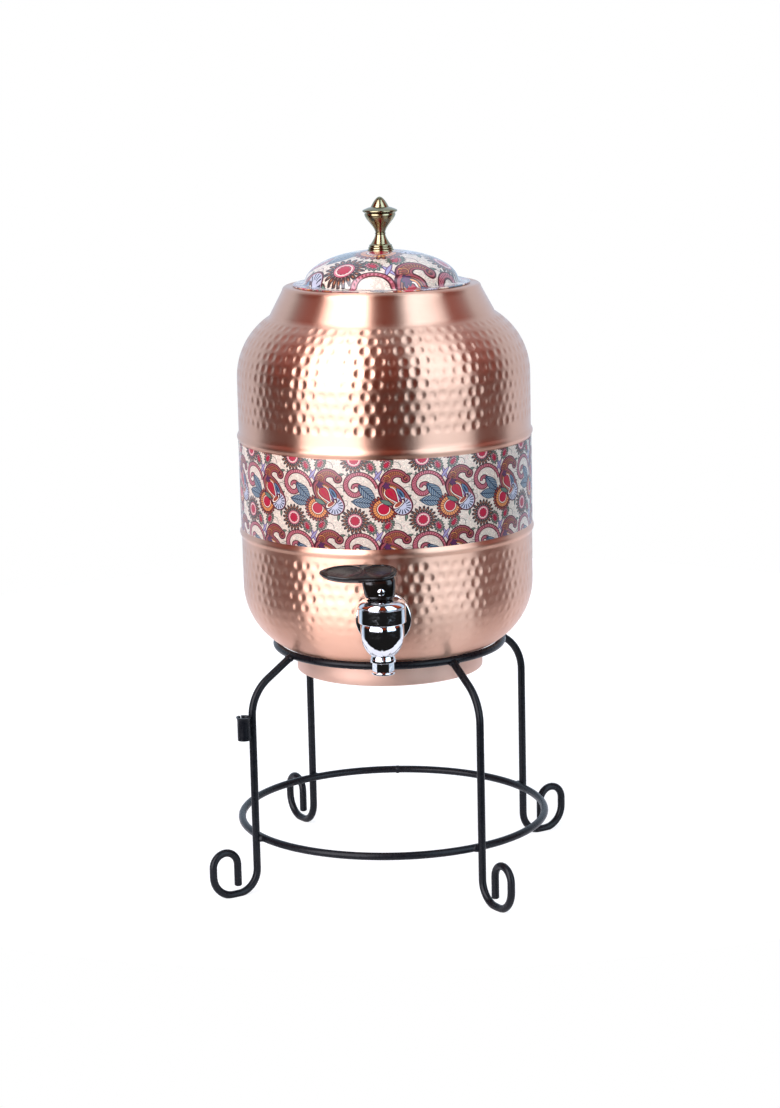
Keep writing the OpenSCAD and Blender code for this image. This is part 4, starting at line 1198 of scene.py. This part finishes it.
waterway_columns = 64
flange_back = 25.0
flange_t = 3.0
shank_end = 46.0
edge_r = 0.7
seam_proud = 0.22
carved_sharp_degrees = 32
tap_columns = 180
bore_columns = 96


def bowl_reach(z):
    """Radius of the bowl at a height from the shank's axis, drawn in a little under the barrel."""
    throat = bowl_throat * max(0.0, z / bowl_throat_h) ** 2
    return bowl_r * math.sqrt(1 - (max(0.0, bowl_round_z - z) / bowl_round_h) ** 2) - throat


tap_section = [(0, -tap_drop), (lip_r - 0.5, -tap_drop)] + arc((lip_r - 0.5, -29.0), 0.5, -70, 0, 5)
tap_section += arc((lip_r - 0.5, -28.4), 0.5, 0, 70, 4)
tap_section += [(nozzle_r, z) for z in (-27.6, -25, -22.2)]
tap_section += arc((collar_r - 0.5, -21.3), 0.5, -70, 0, 4) + arc((collar_r - 0.5, -19.9), 0.5, 0, 60, 4)
tap_section += [(bowl_reach(z), z) for z in np.linspace(-17.7, bowl_throat_h, 32)]
tap_section += arc((barrel_r - edge_r, barrel_foot + edge_r), edge_r, -80, 0, 7)
tap_section += [(barrel_r, z) for z in (4.6, 8, 12.2, 12.6)]
tap_section += [(barrel_r - 0.1, barrel_up - 0.3), (barrel_r - 0.5, barrel_up), (0, barrel_up)]
tap_section = [(r, z + tap_z) for r, z in tap_section]
shank_section = [(0, 4), (shank_neck_r, 4), (shank_neck_r, 18)]
shank_section += [(shank_neck_r + 0.6, 20.4), (shank_neck_r + 2.0, 21.6)]
shank_section += arc((flange_r - 0.8, flange_back - flange_t + 0.8), 0.8, -85, 0, 6)
shank_section += [(flange_r, flange_back - 0.3), (flange_r - 0.3, flange_back), (shank_r, flange_back)]
shank_section += [(shank_r, 35), (shank_r, shank_end - 0.6), (shank_r - 0.6, shank_end), (0, shank_end)]


def laid_back(section, columns, height):
    """A section turned about a line that runs as the shank does, at a height in millimetres."""
    points, faces = turned(section, columns, centre=Vector((0, 0, 0)))
    laid = np.stack([points[:, 0], points[:, 2], -points[:, 1]], 1)
    return laid + np.array([tap_axis.x, tap_axis.y, height * MM]), faces


def cut_tool(name, shape):
    """A solid for a Boolean step, which is removed after it."""
    tool = bpy.data.objects.new(name, new_mesh(name, *shape))
    scene.collection.objects.link(tool)
    return tool


def carve(piece, *steps):
    """Applies Boolean steps to a piece and removes their tools."""
    for operation, tool in steps:
        step = piece.modifiers.new(operation.lower(), "BOOLEAN")
        step.operation = operation
        step.solver = "EXACT"
        step.object = tool
    shaped = bpy.data.meshes.new_from_object(piece.evaluated_get(bpy.context.evaluated_depsgraph_get()))
    piece.modifiers.clear()
    old_mesh = piece.data
    piece.data = shaped
    shaped.name = old_mesh.name + "_carved"
    bpy.data.meshes.remove(old_mesh)
    for operation, tool in steps:
        tool_mesh = tool.data
        bpy.data.objects.remove(tool)
        bpy.data.meshes.remove(tool_mesh)
    soften(shaped, carved_sharp_degrees)


chrome = mottled_finish(
    "bright_chrome", 220, (0.70, 0.72, 0.75), (0.80, 0.81, 0.83),
    (350, 0.03, 0.10), (140, 0.00006), Metallic=1.0)

barrel_points, barrel_faces = turned(tap_section, tap_columns, centre=tap_axis)
seam_column = tap_columns * 3 // 4
for column in (seam_column, tap_columns // 4):
    for row, (r, z) in enumerate(tap_section[1:-1]):
        if tap_z + bowl_foot < z < tap_z + bowl_throat_h:
            ridge = barrel_points[row * tap_columns + column]
            outward = ridge - np.array([tap_axis.x, tap_axis.y, ridge[2]])
            ridge += outward / np.linalg.norm(outward) * seam_proud * MM
for row, (r, z) in enumerate(tap_section[1:-1]):
    if r == nozzle_r:
        for column in range(tap_columns):
            from_flat = (column - seam_column + tap_columns // 12) % (tap_columns // 6) - tap_columns // 12
            flat_reach = nozzle_flat / math.cos(2 * math.pi * from_flat / tap_columns)
            reach = min(flat_reach, nozzle_flat + 0.75) / nozzle_r
            edge = barrel_points[row * tap_columns + column]
            edge[:2] = tap_axis[:2] + (edge[:2] - tap_axis[:2]) * reach
tap = add_piece("tap_casting", barrel_points, barrel_faces, chrome, "tank", "chrome", ("tap_body",))
chamber_section = [(0, -29.9), (outlet_r, -29.9), (outlet_r, -seat_down)]
chamber_section += [(chamber_r, -seat_down), (chamber_r, barrel_up + 1), (0, barrel_up + 1)]
chamber_shape = turned([(r, z + tap_z) for r, z in chamber_section], bore_columns, centre=tap_axis)
waterway_section = [(0, 0), (waterway_r, 0), (waterway_r, shank_end + 1), (0, shank_end + 1)]
carve(
    tap,
    ("UNION", cut_tool("shank_tool", laid_back(shank_section, bore_columns, tap_z))),
    ("DIFFERENCE", cut_tool("chamber_tool", chamber_shape)),
    ("DIFFERENCE", cut_tool("waterway_tool", laid_back(waterway_section, waterway_columns, tap_z))),
)

rubber = mottled_finish(
    "black_rubber", 300, (0.012, 0.012, 0.013), (0.024, 0.023, 0.023),
    (900, 0.55, 0.75), (1600, 0.00004), Specular_IOR_Level=0.35)
for name in ("outer_washer", "inner_washer", "bonnet_seal", "valve_plug"):
    keep_node(name, rubber)
keep_node("tap_nut", brass)

# The bonnet and stem. A chromed cone screwed into the barrel guides the turned stem, which a wound
# steel spring presses down on the rubber plug. The lever's pin passes the eye at its top.
bonnet_low, bonnet_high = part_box("tap_bonnet")
bonnet_top = bonnet_high.z / MM
bonnet_foot = bonnet_low.z / MM
bonnet_rest = tap_z + barrel_up
bonnet_top_r = 9.9
bonnet_skirt_r = 10.95
bonnet_bore_r = 3.56
cone_foot = bonnet_rest + 0.6
cone_power = 1.25
bonnet_columns = 120
skirt_bore_r = 8.6
bonnet_section = [(bonnet_skirt_r, bonnet_foot), (bonnet_skirt_r, bonnet_rest + 0.02)]
bonnet_section += [(barrel_r - 0.55, bonnet_rest + 0.05), (barrel_r - 0.12, bonnet_rest + 0.35)]
for turn in np.radians(np.linspace(0, 90, 16)):
    cone_r = bonnet_top_r + (barrel_r - bonnet_top_r) * max(0.0, math.cos(turn)) ** cone_power
    bonnet_section.append((cone_r, cone_foot + (bonnet_top - cone_foot) * math.sin(turn) ** cone_power))
bonnet_section += [(bonnet_bore_r + 0.4, bonnet_top), (bonnet_bore_r, bonnet_top - 0.4)]
bonnet_section += [(bonnet_bore_r, bonnet_rest - 1.2), (skirt_bore_r, bonnet_rest - 1.2)]
bonnet_section += [(skirt_bore_r, bonnet_foot)]
bonnet_shape = turned(bonnet_section, bonnet_columns, True, centre=tap_axis)
add_piece("bonnet_cone", *bonnet_shape, chrome, "tank", "chrome", ("tap_bonnet",), sharp_degrees=40)
keep_node("tap_stem", chrome)

spring_low, spring_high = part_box("return_spring")
wire_r = 0.58
spring_turns = 5
coil_steps = 24
wire_rounds = 12
wire_room = wire_r + 0.02
spring_r = (spring_high.x - spring_low.x) / 2 / MM - wire_room
spring_foot = spring_low.z / MM + wire_room
spring_top = spring_high.z / MM - wire_room
spring_path = []
for share in np.linspace(0, 1, spring_turns * coil_steps + 1):
    turn = 2 * math.pi * spring_turns * share
    coil_z = spring_foot + (spring_top - spring_foot) * share
    coil_way = np.array([spring_r * math.cos(turn), spring_r * math.sin(turn), coil_z])
    spring_path.append(np.array(tap_axis) + coil_way * MM)
spring_shape = rod_along(spring_path, (0, 0, 1), wire_r * MM, wire_rounds)
spring = add_piece(
    "stem_return_spring", *spring_shape, steel, "tank", "steel", ("return_spring",), sharp_degrees=60)
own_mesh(spring)

pin_low, pin_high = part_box("lever_pin")
pin_r = (pin_high.z - pin_low.z) / 2 / MM
pin_z = (pin_low.z + pin_high.z) / 2 / MM
pin_half = (pin_high.y - pin_low.y) / 2 / MM
pin_dome = 0.9
pin_columns = 48
pin_turns = np.radians(np.linspace(0, 90, 9))
pin_half_section = [(pin_r * math.sin(a), pin_half - pin_dome * (1 - math.cos(a))) for a in pin_turns]
pin_half_section += [(pin_r, 1.5)]
pin_section = [(r, -z) for r, z in pin_half_section] + pin_half_section[::-1]
pin_shape = laid_back(pin_section, pin_columns, pin_z)
add_piece("lever_hinge_pin", *pin_shape, chrome, "stem", "chrome", ("lever_pin",), sharp_degrees=45)

# The lever. Moulded in glossy black-brown plastic: a lens shaped paddle with two dished ovals on top, and
# a tapered block that straddles the stem's eye and rolls on the bonnet.
lever_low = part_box("tap_lever")[0]
lever_t = 5.6
lever_foot = lever_low.z / MM
plate_up = 6.4
plate_z = pin_z + plate_up
lever_top = plate_z + lever_t
lever_l = 37.2
lever_shift = -1.0
head_r = 10.9
blade_half = 11.3
blade_x = -14.0
block_top_r = 10.45
block_foot_r = 7.9
block_side_r = 9.75
block_side_h = 2.6
slot_half = 4.4
slot_end = 5.4
slot_top = pin_z + 5.4
edge_t = 1.5
edge_soft = 7.0
edge_round = 0.35
dish_depth = 1.5
dish_lip = 0.25
dish_lip_at = 1.03
dish_lip_w = 0.07
dishes = ((-0.6, 8.9, 9.0), (-22.2, 11.0, 8.8))
plate_cant = 0.19
block_lean = -1.1
block_square = 3.2
block_narrow = 0.92
block_columns = 96
blade_swell = 2.2
blade_point = 0.62
under_swell = 2.2
top_round = 0.5

outline_half = [(head_r * math.cos(a), head_r * math.sin(a)) for a in np.radians(np.linspace(0, 90, 26))]
outline_half += [(blade_x * s, head_r + (blade_half - head_r) * s) for s in np.linspace(0, 1, 20)[1:-1]]
for share in np.sin(np.radians(np.linspace(0, 90, 44))):
    half = blade_half * max(0.0, 1 - share ** blade_swell) ** blade_point
    outline_half.append((blade_x - (lever_l + blade_x) * share, half))
outline_half = np.array(outline_half)
outline = np.concatenate([outline_half, outline_half * np.array([1, -1])])


def plate_height(points, away, upper):
    """Height of the paddle's top or underside at places on it."""
    near = np.clip(1 - away / edge_soft, 0, 1)
    at_edge = edge_round * (away < 0.2)
    tilt = plate_cant * points[:, 1]
    if not upper:
        return plate_z + (lever_t - edge_t) * near ** under_swell + tilt + at_edge
    height = lever_top - top_round * near ** 2 + tilt - at_edge
    for centre_x, long, wide in dishes:
        oval = np.sqrt(((points[:, 0] - centre_x) / long) ** 2 + (points[:, 1] / wide) ** 2)
        height = height - dish_depth * np.sqrt(np.clip(1 - oval ** 2, 0, 1))
        height = height + dish_lip * np.exp(-((oval - dish_lip_at) / dish_lip_w) ** 2)
    return height


plate_across = np.sin(np.radians(np.linspace(-90, 90, 57)))
plate_x = np.repeat(outline_half[:, :1], len(plate_across), 1)
plate_y = np.maximum(outline_half[:, 1:], 0.15) * plate_across
plate_places = np.stack([plate_x, plate_y], 2).reshape(-1, 2)
plate_away = np.linalg.norm(plate_places[:, None] - outline[None], axis=2).min(axis=1)
plate_sides = []
for upper in (True, False):
    plate_rise = plate_height(plate_places, plate_away, upper)
    plate_sides.append(np.column_stack([plate_places, plate_rise]))
plate_points = np.concatenate(plate_sides) * MM + np.array([tap_axis.x + lever_shift * MM, tap_axis.y, 0])
plate_index = np.arange(plate_x.size).reshape(plate_x.shape)
plate_quads = np.array(grid_faces(*plate_x.shape, loop_columns=False))
plate_rim = np.concatenate([
    plate_index[0, :-1], plate_index[:-1, -1], plate_index[-1, :0:-1], plate_index[:0:-1, 0]])
rim_next = np.roll(plate_rim, -1)
rim_quads = np.stack([plate_rim, rim_next, rim_next + plate_x.size, plate_rim + plate_x.size], 1)
plate_faces = np.concatenate([plate_quads, plate_quads[:, ::-1] + plate_x.size, rim_quads]).tolist()

lever_plastic = mottled_finish(
    "glossy_black_plastic", 120, (0.003, 0.0025, 0.002), (0.008, 0.006, 0.005),
    (500, 0.08, 0.16), (900, 0.00003), Specular_IOR_Level=0.45)
lever = add_piece("press_lever", plate_points, plate_faces, lever_plastic, "lever", "lever", ("tap_lever",))
block_section = [(0, lever_foot), (block_foot_r - 0.3, lever_foot), (block_foot_r, lever_foot + 0.3)]
block_section += [(block_side_r - 0.4, lever_foot + block_side_h - 0.5)]
block_section += [(block_side_r, lever_foot + block_side_h + 0.4)]
block_section += [(block_top_r - 0.2, plate_z - 4), (block_top_r, plate_z)]
block_section += [(block_top_r - 0.15, plate_z + 1.2), (block_top_r - 0.9, plate_z + 2.4)]
block_section += [(0, plate_z + 2.4)]
block_points, block_faces = turned(block_section, block_columns, centre=tap_axis)
block_rise = np.clip((block_points[:, 2] / MM - lever_foot) / (plate_z - lever_foot), 0, 1)
block_way = (block_points[:, :2] - np.array(tap_axis[:2])) / MM
block_reach = np.linalg.norm(block_way, axis=1) + 1e-6
block_corner = (np.abs(block_way / block_reach[:, None]) ** block_square).sum(axis=1)
block_corner = np.maximum(block_corner, 0.2) ** (-1 / block_square)
block_points[:, :2] += block_way * MM * (block_corner[:, None] * np.array([1.0, block_narrow]) - 1)
block_points[:, 0] += block_lean * MM * (0.45 + np.sqrt(block_rise))
block_points[:, 2] += plate_cant * (block_points[:, 1] - tap_axis.y) * (block_rise > 0.99)
slot_corners = [
    (x, y, z) for x in (-lever_l, slot_end) for y in (-slot_half, slot_half)
    for z in (lever_foot - 1, slot_top)
]
slot_faces = [(0, 1, 3, 2), (4, 6, 7, 5), (0, 4, 5, 1), (2, 3, 7, 6), (0, 2, 6, 4), (1, 5, 7, 3)]
slot_shape = (np.array(slot_corners) * MM + np.array(tap_axis), slot_faces)
hole_r = pin_r + 0.06
hole_section = [(0, -lever_l), (hole_r, -lever_l), (hole_r, lever_l), (0, lever_l)]
carve(
    lever,
    ("UNION", cut_tool("block_tool", (block_points, block_faces))),
    ("DIFFERENCE", cut_tool("slot_tool", slot_shape)),
    ("DIFFERENCE", cut_tool("hole_tool", laid_back(hole_section, pin_columns, pin_z))),
)
